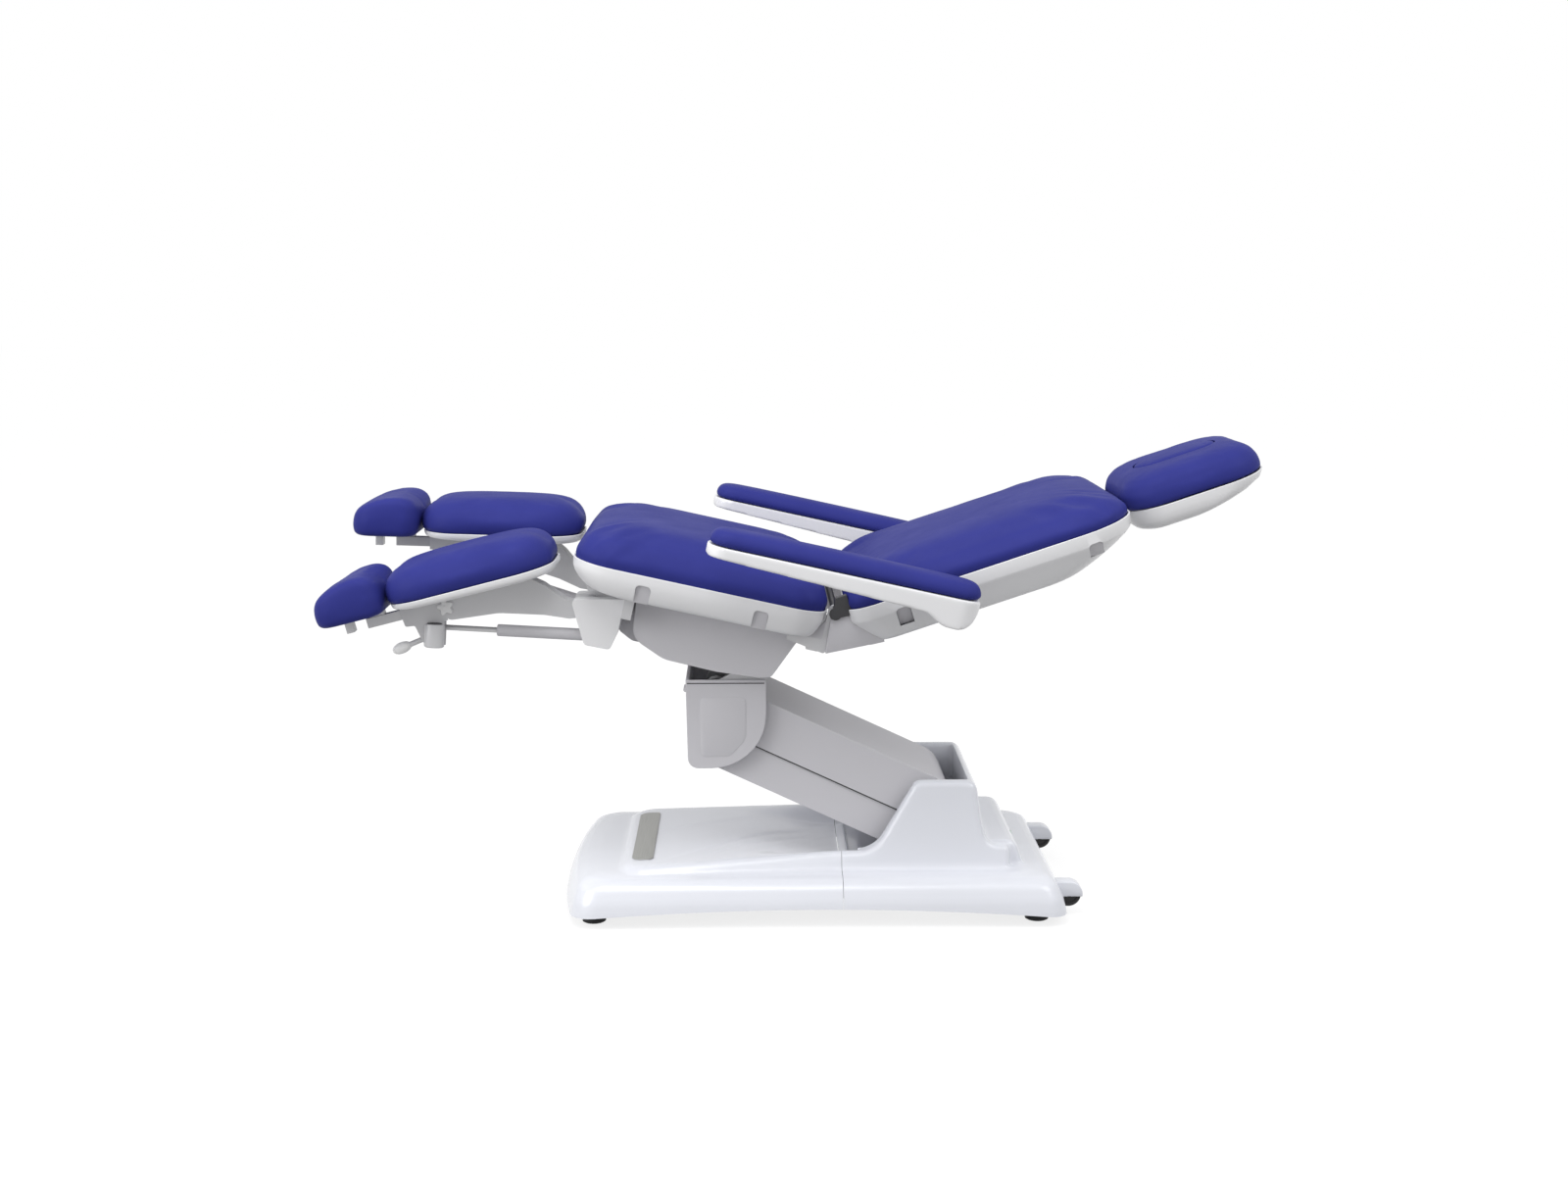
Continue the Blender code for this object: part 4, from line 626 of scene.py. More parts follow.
class Finish:
    """A material with a Principled shader, and the shared groups that vary it."""

    groups = {}

    def __init__(self, name, base, roughness, metallic=0.0, coat=0.0, specular=0.5):
        self.material = bpy.data.materials.new(name)
        self.material.use_nodes = True
        self.tree = self.material.node_tree
        self.shader = self.tree.nodes["Principled BSDF"]
        self.base = (*base, 1.0)
        values = {"Base Color": self.base, "Roughness": roughness, "Metallic": metallic, "Coat Weight": coat,
                  "Coat Roughness": COAT_ROUGHNESS, "Specular IOR Level": specular}
        for socket, value in values.items():
            self.shader.inputs[socket].default_value = value

    def effect(self, maker, **inputs):
        if maker not in Finish.groups:
            Finish.groups[maker] = maker()
        return wired(self.tree, "ShaderNodeGroup", inputs, node_tree=Finish.groups[maker]).outputs

    def link(self, value, socket):
        self.tree.links.new(value, self.shader.inputs[socket])

    def varied(self, effect, strength, distance, shade, gloss=None):
        """Bump, a base colour that runs to a shade, and a roughness between two limits; gives the colour."""
        inputs = {"Height": effect["Height"], "Strength": strength, "Distance": distance}
        self.link(wired(self.tree, "ShaderNodeBump", inputs).outputs["Normal"], "Normal")
        if gloss:
            self.link(ranged(self.tree, effect["Tone"], 0.0, 1.0, *gloss), "Roughness")
        other = tuple(channel * shade for channel in self.base[:3]) + (1.0,)
        tone = mixed(self.tree, effect["Tone"], self.base, other)
        self.link(tone, "Base Color")
        return tone


def vinyl(colours):
    finish = Finish("vinyl", colours.vinyl, 0.50, specular=0.06)
    finish.varied(finish.effect(grain_group), 0.16, 0.0004, 0.90, (0.47, 0.56))
    return finish.material


def moulded(name, base, roughness, coat, strength, scale):
    """A moulded plastic with orange peel, slow waves and a little dust."""
    finish = Finish(name, base, roughness, coat=coat)
    skin = finish.effect(skin_group, Scale=scale)
    tone = finish.varied(skin, strength, 0.0006, 0.965, (roughness, roughness + 0.06))
    share = combined(finish.tree, "MULTIPLY", finish.effect(dust_group)["Mask"], DUST_SHARE)
    finish.link(mixed(finish.tree, share, tone, DUST_COLOUR), "Base Color")
    return finish.material


def metal(name, base, roughness, metallic):
    """Steel or paint whose gloss varies in patches."""
    finish = Finish(name, base, roughness, metallic=metallic)
    skin = finish.effect(skin_group, Scale=420.0)
    finish.varied(skin, 0.05, 0.0004, 0.92, (roughness, roughness + 0.10))
    return finish.material


def brushed(colours):
    finish = Finish("plate", colours.plate, 0.42, metallic=0.55)
    finish.varied(finish.effect(brush_group), 0.10, 0.0003, 0.86)
    return finish.material


def make_looks():
    colours = settings().colours
    return {
        "vinyl": vinyl(colours),
        "shell": moulded("shell", colours.shell, 0.34, 0.15, 0.03, 260.0),
        "knob": moulded("knob", colours.knob, 0.30, 0.20, 0.02, 260.0),
        "cover": moulded("cover", colours.cover, 0.48, 0.0, 0.10, 700.0),
        "gloss": moulded("gloss", colours.gloss, 0.22, 0.35, 0.02, 180.0),
        "steel": metal("steel", colours.steel, 0.38, 0.55),
        "cast": metal("cast", colours.cast, 0.40, 0.15),
        "plate": brushed(colours),
        "rubber": metal("rubber", colours.rubber, 0.62, 0.0),
        "dark": metal("dark", colours.dark, 0.45, 0.0),
        "rocker": Finish("rocker", colours.rocker, 0.18, coat=0.5).material,
    }


# Groups of pieces

def build_base():
    mould = settings().mould
    whole = blended(base_forms(), mould.base_grid, 7)
    for vert in whole.verts:
        vert.co.z -= trough(vert.co)
    whole = cut_by(whole, base_hollow(), floor_arch(), panel_recess())
    mesh = meshed(whole)
    for sign, node in ((-1.0, "front_base_cover"), (1.0, "rear_base_cover")):
        half = opened(mesh)
        cut = bmesh.ops.bisect_plane(half, geom=half.verts[:] + half.edges[:] + half.faces[:], dist=1e-6,
                                     plane_co=(SEAM_X + sign * mould.parting / 2.0, 0.0, 0.0),
                                     plane_no=(-sign, 0.0, 0.0), clear_outer=True)
        rim = [item for item in cut["geom_cut"] if isinstance(item, bmesh.types.BMEdge)]
        bmesh.ops.edgeloop_fill(half, edges=rim)
        cover = piece(f"{node}_look", half, "gloss", "base", "base", (node,), sharp=50.0)
        cover.modifiers.new("even", "WEIGHTED_NORMAL").keep_sharp = True
    bpy.data.meshes.remove(mesh)
    for name, side in SIDES.items():
        piece(f"wheel_housing_{name}", wheel_housing(side), "gloss", "base", "base")
    apron = outline([(0.0735, 0.0970, 0.0), (0.100, 0.0925, 0.05), (0.145, 0.0735, 0.0), (0.145, 0.0700, 0.0),
                     (0.0735, 0.0880, 0.0)], -LINER_HALF, LINER_HALF)
    piece("slot_apron", apron, "gloss", "base", "base")
    liner = softened(block(0.076, 0.315, -LINER_HALF, LINER_HALF, 0.0685, 0.0715), 0.0008)
    piece("slot_liner", liner, "cover", "base", "base")
    dressed("base_frame", "steel", "base")
    base_plate()
    dressed("power_panel", "shell", "base", 0.0006)
    dressed("power_switch", "rocker", "switch", 0.0008, 10.0)
    base_feet()


def bowed(bm):
    """Bows the front end of a base form outwards."""
    for vert in bm.verts:
        at_front = clamped((-vert.co.x - 0.25) * 8.0)
        vert.co.x -= 0.030 * at_front * (1.0 - (vert.co.y / BASE_PLAN[2]) ** 2)
    return bm


def plateau_top(x):
    return 0.1302 - 0.050 * max(0.0, SEAM_X - x)


def trough(point):
    """Depth of the soft hollow that leads into the lift's slot."""
    if point.z < 0.100 or point.x > 0.09:
        return 0.0
    return 0.033 * eased((point.x + 0.16) / 0.23) * eased((0.176 - abs(point.y)) / 0.05)


def base_forms():
    """Deck, plateau, tower and hump as one closed form, with the lift's slot cut out."""
    deck = bowed(stepped(BASE_PLAN, BASE_CORNER, BASE_CORNER, (
        (-0.0165, -0.012), (-0.012, 0.014), (-0.0085, 0.032), (-0.004, 0.050), (0.0, 0.060), (0.003, 0.066),
        (0.0060, 0.073), (0.0100, 0.079), (0.0150, 0.0838), (0.022, 0.088), (0.034, 0.0930),
        (0.060, 0.0965)), 24))
    plateau = stepped(PLATEAU_PLAN, 0.05, 0.05, (
        (-0.004, PLATEAU_FOOT), (0.0, 0.097), (0.005, 0.107), (0.010, 0.1135), (0.016, 0.1172),
        (0.024, PLATEAU_FLAT)), 24)
    for vert in plateau.verts:
        share = max(0.0, vert.co.z - PLATEAU_FOOT) / 0.033
        vert.co.z += share * (plateau_top(vert.co.x) - PLATEAU_FLAT)
        vert.co.y *= 1.0 + 0.42 * max(0.0, SEAM_X - vert.co.x)
    tower = outline([(SEAM_X, PLATEAU_FOOT, 0.0), (SEAM_X, 0.1275, 0.0), (0.122, 0.130, 0.055),
                     (0.207, 0.274, 0.016), (0.331, 0.274, 0.022), (0.350, 0.144, 0.030), (0.400, 0.142, 0.0),
                     (0.400, PLATEAU_FOOT, 0.0)], -1.0, 1.0)
    for vert in tower.verts:
        vert.co.y *= PLATEAU_PLAN[2] - 0.024 * (vert.co.z - 0.094) / 0.180
    hump = outline([(0.300, PLATEAU_FOOT, 0.0), (0.300, 0.148, 0.0), (0.414, 0.148, 0.024),
                    (0.436, PLATEAU_FOOT, 0.0)], -0.172, 0.172)
    whole = deck
    for form in (plateau, softened(tower, 0.010, 50.0, 4), softened(hump, 0.008, 50.0, 4)):
        whole = joined(whole, form, "UNION")
    return cut_by(whole, block(0.075, 0.316, -0.150, 0.150, -0.02, 0.4))


def base_hollow():
    steps = ((-0.010, -0.03), (0.000, 0.050), (0.014, 0.074), (0.038, 0.088))
    return bowed(stepped(BASE_PLAN, BASE_CORNER, BASE_CORNER, steps, 12))


def floor_arch():
    """What lies below the skirt's arched lower edge."""
    bm = bmesh.new()
    bmesh.ops.create_grid(bm, x_segments=48, y_segments=1, size=0.6)
    for vert in bm.verts:
        vert.co.z = 0.021 + 0.0195 * max(0.0, 1.0 - (2.0 * vert.co.x) ** 2)
    for vert in extruded(bm):
        vert.co.z = -0.10
    bmesh.ops.recalc_face_normals(bm, faces=bm.faces[:])
    return bm


def panel_recess():
    """Room for the mains panel in the rear face of the hump, in the base's frame."""
    low, high = extent("power_panel", "panel")
    bm = block(low.x, high.x + 0.02, low.y - 0.0004, high.y + 0.0004, low.z - 0.0004, high.z + 0.0004)
    bm.transform(PLACES["base"].inverted() @ PLACES["panel"])
    return bm


def base_plate():
    low, high = extent("name_plate", "base")
    plate = stepped((low.x, high.x, high.y), 0.020, 0.009,
                    ((0.0, 0.0), (0.0, 0.0016), (0.0005, 0.0022), (0.0012, 0.0024)), 2)
    for vert in plate.verts:
        vert.co.z += plateau_top(vert.co.x) + 0.0006
    piece("name_plate_look", plate, "plate", "base", "base", ("name_plate",))


def wheel_housing(side):
    """A mudguard that follows its wheel."""
    middle = side * 0.200
    body = outline([(0.470, 0.0405, 0.0), (0.5485, 0.0405, 0.0), (0.5485, 0.0725, 0.0275),
                    (0.470, 0.0725, 0.0)], middle - 0.0165, middle + 0.0165, 12)
    body = softened(body, 0.003, 40.0, 3)
    inner, outer = middle - 0.0122, middle + 0.0122
    return cut_by(body, bar((0.520, inner, 0.044), (0.520, outer, 0.044), 0.0268),
                  block(0.493, 0.5468, inner, outer, 0.030, 0.044))


WHEEL_PROFILE = ((0.0, -0.016), (0.004, -0.016), (0.004, -0.011), (0.017, -0.0095), (0.0180, -0.011),
                 (0.0235, -0.011), (0.0255, -0.008), (0.0260, -0.004))


def base_feet():
    for end in ("front", "rear"):
        for name in SIDES:
            node = f"levelling_foot_{end}_{name}"
            low, high = extent(node, "base")
            centre = ((low.x + high.x) / 2.0, (low.y + high.y) / 2.0, 0.0)
            foot = lathe([(0.0, 0.0), (0.0215, 0.0), (0.0240, 0.0015), (0.0240, 0.0050), (0.0225, 0.0090),
                          (0.0195, 0.0125), (0.0085, 0.0130), (0.0060, 0.0150), (0.0060, high.z),
                          (0.0, high.z)], Matrix.Translation(centre))
            piece(f"{node}_look", foot, "rubber", "base", "base", (node,))
    for name in SIDES:
        node = f"transport_wheel_{name}"
        low, high = extent(node, "base")
        centre = Matrix.Translation((low + high) / 2.0) @ Matrix.Rotation(math.pi / 2.0, 4, "X")
        upper = [(radius, -height) for radius, height in reversed(WHEEL_PROFILE)]
        wheel = lathe([*WHEEL_PROFILE, *upper], centre)
        piece(f"{node}_look", wheel, "rubber", f"wheel_{name}", "base", (node,))


def build_lift():
    mould = settings().mould
    dressed("upper_arm_cover", "cover", "upper_arm", mould.edge)
    dressed("lower_lift_arm", "cover", "lower_arm", mould.edge)
    dressed("head_cover", "cover", "head", mould.edge)
    low, high = extent("upper_arm_cover", "arm")
    # Dark strips that stand out below the upper cover's lower edges: painted shade of the parting line above
    # the lower arm.
    strips = []
    for side in SIDES.values():
        edges = between(side, high.y - 0.0005, high.y - 0.0030)
        strips.append(block(low.x + 0.03, high.x - 0.03, *edges, low.z - 0.0022, low.z + 0.004))
    piece("cover_parting_shade", together(*strips), "dark", "upper_arm", "arm")
    head_relief()
    dressed("upper_lift_arm", "steel", "upper_arm")
    dressed("head_bracket", "cast", "head")
    dressed("lift_actuator_body", "dark", "lift_motor")
    dressed("lift_actuator_rod", "steel", "lift_rod", 0.0006)


def head_relief():
    """Lip, side panels and pin of the head cover, and dark strips of painted shade in the seam below its top
    edge.
    """
    low, high = extent("head_cover", "head")
    parts = [bar((low.x, low.y + 0.002, 0.028), (low.x, low.y + 0.040, 0.028), 0.0045)]
    for side in SIDES.values():
        edges = between(side, high.y - 0.002, high.y + 0.0009)
        panel = outline([(-0.030, 0.012, 0.010), (0.063, 0.012, 0.010), (0.063, -0.075, 0.030),
                         (0.030, -0.112, 0.020), (-0.030, -0.112, 0.010)], *edges)
        parts.append(softened(panel, 0.0008, 40.0))
    piece("head_relief", together(*parts), "cover", "head", "head")
    # Dark strips a little below the top of each side: painted shade of the seam under the cover's top edge.
    seams = []
    for side in SIDES.values():
        edges = between(side, high.y - 0.002, high.y + 0.0004)
        seams.append(block(low.x + 0.003, high.x - 0.004, *edges, high.z - 0.0082, high.z - 0.0062))
    piece("head_seam_shade", together(*seams), "dark", "head", "head")


SEAT_TRAY = ((0.0, 0.020), (0.03, 0.0150), (0.08, 0.0118), (0.18, 0.0082), (0.34, 0.0046), (0.52, 0.0018),
             (0.66, 0.0005), (0.78, 0.0), (1.0, 0.0))
BACK_TRAY = ((0.0, 0.040), (0.02, 0.0345), (0.05, 0.0315), (0.10, 0.0285), (0.25, 0.0213), (0.42, 0.0130),
             (0.58, 0.0052), (0.62, 0.0030), (0.66, 0.0012), (0.70, 0.0), (1.0, 0.0))
HEADREST_TRAY = ((0.0, 0.030), (0.03, 0.0220), (0.08, 0.0160), (0.14, 0.0120), (0.25, 0.0075),
                 (0.42, 0.0036), (0.70, 0.0010), (1.0, 0.0))
LEG_TRAY = ((0.0, 0.012), (0.06, 0.0080), (0.14, 0.0050), (0.30, 0.0025), (0.60, 0.0006), (1.0, 0.0))
SEAT_CORNERS = (0.085, 0.070)
BACK_CORNERS = (0.060, 0.110)
HEADREST_CORNERS = (0.080, 0.090)
ARMREST_CORNERS = (0.040, 0.040)


def build_seat():
    mould = settings().mould
    pads = settings().pads
    low, high = extent("seat_shell", "seat")
    tray = tray_form(low.x, high.x, high.y, *SEAT_CORNERS, low.z, high.z, SEAT_TRAY, (0.030, 0.0), mould.wall)
    clips = ((-0.2674, 0.1465, 0.1085), (-0.032, 0.1468, 0.1085))
    tray = with_recesses("seat", tray, clips, high.y, 0.27)
    for side in SIDES.values():
        edges = between(side, 0.2335, 0.2515)
        tray = cut_by(tray, block(0.030, 0.120, *edges, low.z - 0.010, 0.146),
                      block(0.078, 0.120, *edges, 0.138, 0.162))
    piece("seat_shell_look", tray, "shell", "seat", "seat", ("seat_shell",))
    rim = high.z
    low, high = extent("seat_cushion", "seat")
    form = pad_form(low.x, high.x, high.y, *SEAT_CORNERS, low.z, rim, high.z, mould.wall)
    sewn_pad("seat_pad", form, rim + PAD_HOLD, pads.large_grid, pads.large_swell, "seat", "seat",
             ("seat_cushion",))
    dressed("belly_pan", "cover", "seat", mould.edge)
    nose = outline([(-0.304, 0.104, 0.0), (-0.304, 0.012, 0.012), (-0.272, -0.004, 0.020),
                    (-0.250, -0.004, 0.0), (-0.250, 0.104, 0.0)], -0.094, 0.094)
    piece("belly_nose", softened(nose, mould.edge), "cover", "seat", "seat")
    dressed("seat_frame", "cast", "seat")
    dressed("tilt_actuator_body", "dark", "seat")
    dressed("tilt_actuator_rod", "steel", "tilt_rod", 0.0006)
    dressed("back_actuator_body", "dark", "seat")
    dressed("back_actuator_rod", "steel", "back_rod", 0.0006)
    dressed("back_hinge_pin", "dark", "seat", 0.0006)
    for name in SIDES:
        dressed(f"leg_casting_{name}", "shell", "seat", 0.009)


def copied(node, place):
    """A copy of a CAD node in a group's frame."""
    bm = opened(NODES[node].data)
    bmesh.ops.remove_doubles(bm, verts=bm.verts[:], dist=1e-6)
    bm.transform(PLACES[place].inverted())
    return bm


def clip_block(x, reach, bottom, top, edges):
    return outline([(x - reach, bottom, 0.0), (x + reach, bottom, 0.0), (x + reach, top, 0.008),
                    (x - reach, top, 0.008)], *edges)


def with_recesses(group, tray, places, half, slant):
    """Cuts recesses into both long walls of a tray and sets a slanting clip into each."""
    clips = []
    for side in SIDES.values():
        for x, top, foot in places:
            opening = between(side, half - 0.060, half + 0.020)
            tray = cut_by(tray, clip_block(x, 0.0148, foot - 0.0004, top, opening))
            edges = between(side, half - (CLIP_DEPTH + 0.004), half - CLIP_DEPTH)
            clip = softened(clip_block(x, 0.0150, foot, top, edges), 0.0012, 40.0)
            for vert in clip.verts:
                vert.co.y -= side * slant * (top - vert.co.z)
            clips.append(clip)
    piece(f"{group}_clips", together(*clips), "cover", group, group)
    return tray


HINGE_PIECES = (
    ("hinge_plate", "cover", "back", (0.2363, 0.2489), 0.0012,
     ((-0.0445, -0.0698, 0.002), (-0.0095, -0.002, 0.0), (0.0178, -0.008, 0.002), (0.050, -0.030, 0.0),
      (0.080, -0.066, 0.0), (0.0740, -0.0845, 0.001))),
    ("seat_web", "cover", "seat", (0.2240, 0.2358), 0.0012,
     ((0.070, 0.0970, 0.0), (0.0640, 0.1035, 0.0), (0.1055, 0.1535, 0.0), (0.1120, 0.1500, 0.0),
      (0.1080, 0.0900, 0.0))),
    ("hinge_cap", "dark", "back", (0.2360, 0.2540), 0.0015,
     ((-0.0140, -0.008, 0.004), (0.0030, 0.0180, 0.004), (0.0085, 0.0300, 0.003), (0.0330, 0.0300, 0.003),
      (0.0320, -0.012, 0.004))),
)


def hinge_brackets():
    """Side plates and caps that close the gap between the seat and the back."""
    for name, side in SIDES.items():
        for kind, look, group, reach, edge, corners in HINGE_PIECES:
            shape = softened(outline(corners, *between(side, *reach)), edge, 40.0)
            piece(f"{kind}_{name}", shape, look, group, group)


def build_back():
    mould = settings().mould
    pads = settings().pads
    low, high = extent("back_shell", "back")
    tray = tray_form(low.x, high.x - 0.008, high.y, *BACK_CORNERS, low.z - 0.008, high.z, BACK_TRAY,
                     (0.0, 0.090), mould.wall)
    clips = ((0.129, -0.022, -0.060), (0.525, -0.022, -0.050))
    tray = with_recesses("back", tray, clips, high.y, 0.66)
    for side in SIDES.values():
        edges = between(side, 0.235, 0.250)
        shaft = [(0.230, side * reach, -0.038) for reach in (0.2, 0.4)]
        post = [(x, side * 0.062, -0.022) for x in (0.58, 0.70)]
        tray = cut_by(tray, block(-0.1, 0.070, *edges, low.z + 0.002, 0.1), bar(*shaft, 0.0105),
                      bar(*post, 0.0085))
    tray = cut_by(tray, block(-0.1, 0.103, 0.0545, 0.0655, -0.2, -0.036))
    piece("back_shell_look", tray, "shell", "back", "back", ("back_shell",))
    rim = high.z
    low, high = extent("back_cushion", "back")
    form = pad_form(low.x, high.x - 0.008, high.y, *BACK_CORNERS, low.z, rim, high.z - 0.003, mould.wall)
    sewn_pad("back_pad", form, rim + PAD_HOLD, pads.large_grid, pads.large_swell, "back", "back",
             ("back_cushion",))
    rest = copied("back_frame", "back")
    for side in SIDES.values():
        edges = between(side, 0.2362, 0.2490)
        rest = cut_by(rest, block(-0.07, 0.045, *edges, -0.10, 0.05))
    piece("back_frame_look", softened(rest, mould.sheet_edge), "cast", "back", "back",
          ("back_frame",), sharp=35.0)
    hinge_brackets()


def build_headrest():
    mould = settings().mould
    pads = settings().pads
    low, high = extent("headrest_shell", "headrest")
    rim = 0.005
    tray = tray_form(low.x - 0.008, high.x, high.y, *HEADREST_CORNERS, low.z, rim, HEADREST_TRAY,
                     (0.0, 0.110), mould.wall)
    for side in SIDES.values():
        edges = between(side, 0.052, 0.072)
        tray = cut_by(tray, block(-0.2, -0.014, *edges, -0.044, 0.1))
    piece("headrest_shell_look", tray, "shell", "headrest", "headrest", ("headrest_shell",))
    low, high = extent("headrest_cushion", "headrest")
    form = pad_form(low.x - 0.013, high.x, high.y, *HEADREST_CORNERS, low.z - 0.006, rim, high.z, mould.wall,
                    0.8)
    plug_low, plug_high = extent("breathing_plug", "headrest")
    oval = (plug_low.x, plug_high.x, plug_high.y)
    round_end = oval[2] - 0.001
    hole = stepped(oval, round_end, round_end, ((-0.0006, -0.05), (-0.0006, 0.15)))
    sewn_pad("headrest_pad", form, rim + PAD_HOLD, 0.004, pads.firm_swell, "headrest", "headrest",
             ("headrest_cushion",), hole=hole)
    crown = plug_high.z + 0.004
    plug = stepped(oval, round_end, round_end, (
        (0.001, plug_low.z), (0.001, crown - 0.008), (0.003, crown - 0.003), (0.008, crown - 0.001),
        (0.016, crown)))
    sewn_pad("breathing_plug_pad", plug, crown - 0.012, 0.003, 0.002, "plug", "headrest",
             ("breathing_plug",), rounds=2)
    dressed("headrest_posts", "steel", "headrest_posts", 0.0008)


def build_armrests():
    pads = settings().pads
    for name, side in SIDES.items():
        place = f"armrest_{name}"
        low, high = extent(f"armrest_shell_{name}", place)
        middle = (low.y + high.y) / 2.0
        half = (high.y - low.y) / 2.0
        body = outline([(low.x - 0.01, high.z, 0.0), (low.x - 0.001, 0.000, 0.014), (-0.064, -0.016, 0.030),
                        (-0.030, -0.036, 0.022), (0.018, -0.0385, 0.034), (high.x + 0.01, high.z, 0.0)],
                       middle - half - 0.01, middle + half + 0.01, 10)
        plan = stepped((low.x, high.x, half), *ARMREST_CORNERS, ((0.0, -0.1), (0.0, 0.1)))
        bmesh.ops.translate(plan, vec=(0.0, middle, 0.0), verts=plan.verts[:])
        body = blended(joined(body, plan, "INTERSECT"), 0.003, 5)
        body = cut_by(body, bar((0.0, side * 0.30, 0.0), (0.0, side * 0.4202, 0.0), 0.0105))
        piece(f"armrest_shell_{name}_look", body, "shell", place, place,
              (f"armrest_shell_{name}",), sharp=60.0)
        low, high = extent(f"armrest_pad_{name}", place)
        rise = high.z - low.z
        steps = [(inset, low.z + rise * share) for inset, share in (
            (0.003, 0.0), (0.0015, 0.12), (0.001, 0.30), (0.0045, 0.62), (0.0125, 0.88), (0.026, 0.98))]
        form = stepped((low.x, high.x, half), *ARMREST_CORNERS, steps)
        bmesh.ops.translate(form, vec=(0.0, middle, 0.0), verts=form.verts[:])
        sewn_pad(f"armrest_cover_{name}", form, low.z + PAD_HOLD, pads.small_grid, pads.small_swell,
                 place, place, (f"armrest_pad_{name}",))


def build_legs():
    mould = settings().mould
    pads = settings().pads
    for name, side in SIDES.items():
        place = f"leg_{name}"
        low, high = extent(f"leg_tray_{name}", place)
        rim = high.z - 0.006
        tray = tray_form(low.x, high.x, high.y, 0.075, 0.080, low.z, rim, LEG_TRAY, wall=mould.wall)
        for vert in tray.verts:
            along = (vert.co.x - low.x) / (high.x - low.x)
            vert.co.z += 0.25 * (1.0 - along) ** 2 * (rim - vert.co.z)
        piece(f"leg_tray_{name}_look", tray, "shell", place, place, (f"leg_tray_{name}",))
        low, high = extent(f"leg_cushion_{name}", place)
        form = pad_form(low.x, high.x, high.y, 0.078, 0.080, low.z - 0.006, rim, high.z, 0.010, 0.85)
        sewn_pad(f"leg_pad_{name}", form, rim + PAD_HOLD, pads.small_grid, pads.small_swell, place,
                 place, (f"leg_cushion_{name}",))
        dressed(f"leg_arm_{name}", "cast", place, 0.0035)
        build_knob(name, side, place)
        build_foot(name, place)
        build_spring(name)


def build_knob(name, side, place):
    """A five-lobed clamp knob on its stem."""
    node = f"star_knob_{name}"
    low, high = extent(node, place)
    centre = Vector(((low.x + high.x) / 2.0, 0.0, (low.z + high.z) / 2.0))
    radius = (high.x - low.x) / 2.0
    outer = low.y if side < 0.0 else high.y
    star = bmesh.new()
    bmesh.ops.create_circle(star, cap_ends=True, segments=60, radius=1.0)
    for vert in star.verts:
        lobe = math.cos(5.0 * math.atan2(vert.co.x, vert.co.y))
        vert.co *= radius * (0.86 + 0.20 * lobe)
    bmesh.ops.translate(star, vec=(0.0, 0.0, 0.013), verts=extruded(star))
    star = softened(star, 0.0030, 60.0, 4)
    hub = lathe([(0.0, 0.0125), (0.0065, 0.0125), (0.0065, 0.0150), (0.0050, 0.0160), (0.0, 0.0160)])
    stem = bar((0.0, 0.0, 0.002), (0.0, 0.0, -0.016), 0.004)
    whole = together(star, hub, stem)
    turn = Matrix.Rotation(math.radians(90.0 if side < 0.0 else -90.0), 4, "X")
    whole.transform(Matrix.Translation((centre.x, outer - side * 0.0165, centre.z)) @ turn)
    piece(f"{node}_look", whole, "knob", f"knob_{name}", place, (node,))


def build_foot(name, place):
    pads = settings().pads
    dressed(f"foot_slide_{name}", "steel", f"foot_{name}", 0.0015)
    low, high = extent(f"foot_pad_{name}", place)
    low = low + Vector((0.0, 0.0, -0.012))
    high = high + Vector((0.006, 0.0, -0.005))
    form = stepped((low.x, high.x, high.y), 0.040, 0.030, (
        (0.006, 0.0), (0.0, 0.10), (-0.002, 0.45), (0.002, 0.82), (0.009, 0.95), (0.022, 1.0)), 8)
    tip = 0.66 * (high.z - low.z)
    for vert in form.verts:
        along = clamped((vert.co.x - low.x) / (high.x - low.x))
        rise = math.sin(min(along * 1.35, 1.0) * math.pi / 2.0) - 0.9 * max(0.0, along - 0.74)
        vert.co.z = low.z + (tip + (high.z - low.z - tip) * rise) * vert.co.z
    sewn_pad(f"foot_pad_{name}_cover", form, low.z + 0.008, pads.small_grid, pads.small_swell,
             f"foot_{name}", place, (f"foot_pad_{name}",))


def build_spring(name):
    """Gas spring, its end barrel and the release lever, along the spring's own axis."""
    side = SIDES[name]
    place = f"spring_{name}"
    along = Matrix.Rotation(-math.pi / 2.0, 4, "Y")
    low, high = extent(f"gas_cylinder_{name}", place)
    tube = lathe([(0.0067, 0.0), (0.0105, 0.0), (0.0122, 0.0015), (0.0122, -low.x - 0.0015), (0.0105, -low.x),
                  (0.0067, -low.x), (0.0067, 0.0)], along)
    piece(f"gas_cylinder_{name}_look", tube, "cover", f"cylinder_{name}", place,
          (f"gas_cylinder_{name}",), slot="steel")
    dressed(f"gas_rod_{name}", "steel", f"gas_rod_{name}", 0.0010)
    low, high = extent(f"gas_rod_{name}", place)
    middle = low.x + 0.0105
    sleeve = bar((middle, 0.0, 0.0), (high.x, 0.0, 0.0), 0.0056)
    piece(f"gas_rod_sleeve_{name}", sleeve, "steel", f"gas_rod_{name}", place)
    stretch = Matrix.Translation((middle + 0.012, side * 0.0325, 0.0)) @ Matrix.Diagonal((1.7, 1.0, 1.0, 1.0))
    barrel = lathe([(0.0, low.z), (0.0100, low.z), (0.0118, low.z + 0.002), (0.0118, high.z - 0.002),
                    (0.0105, high.z), (0.0, high.z)], stretch)
    piece(f"spring_barrel_{name}", barrel, "cast", f"gas_rod_{name}", place)
    cap = lathe([(0.0, high.z - 0.001), (0.0092, high.z - 0.001), (0.0088, high.z + 0.0012),
                 (0.0, high.z + 0.0012)], stretch)
    piece(f"spring_cap_{name}", cap, "dark", f"gas_rod_{name}", place)
    build_lever(name, place)


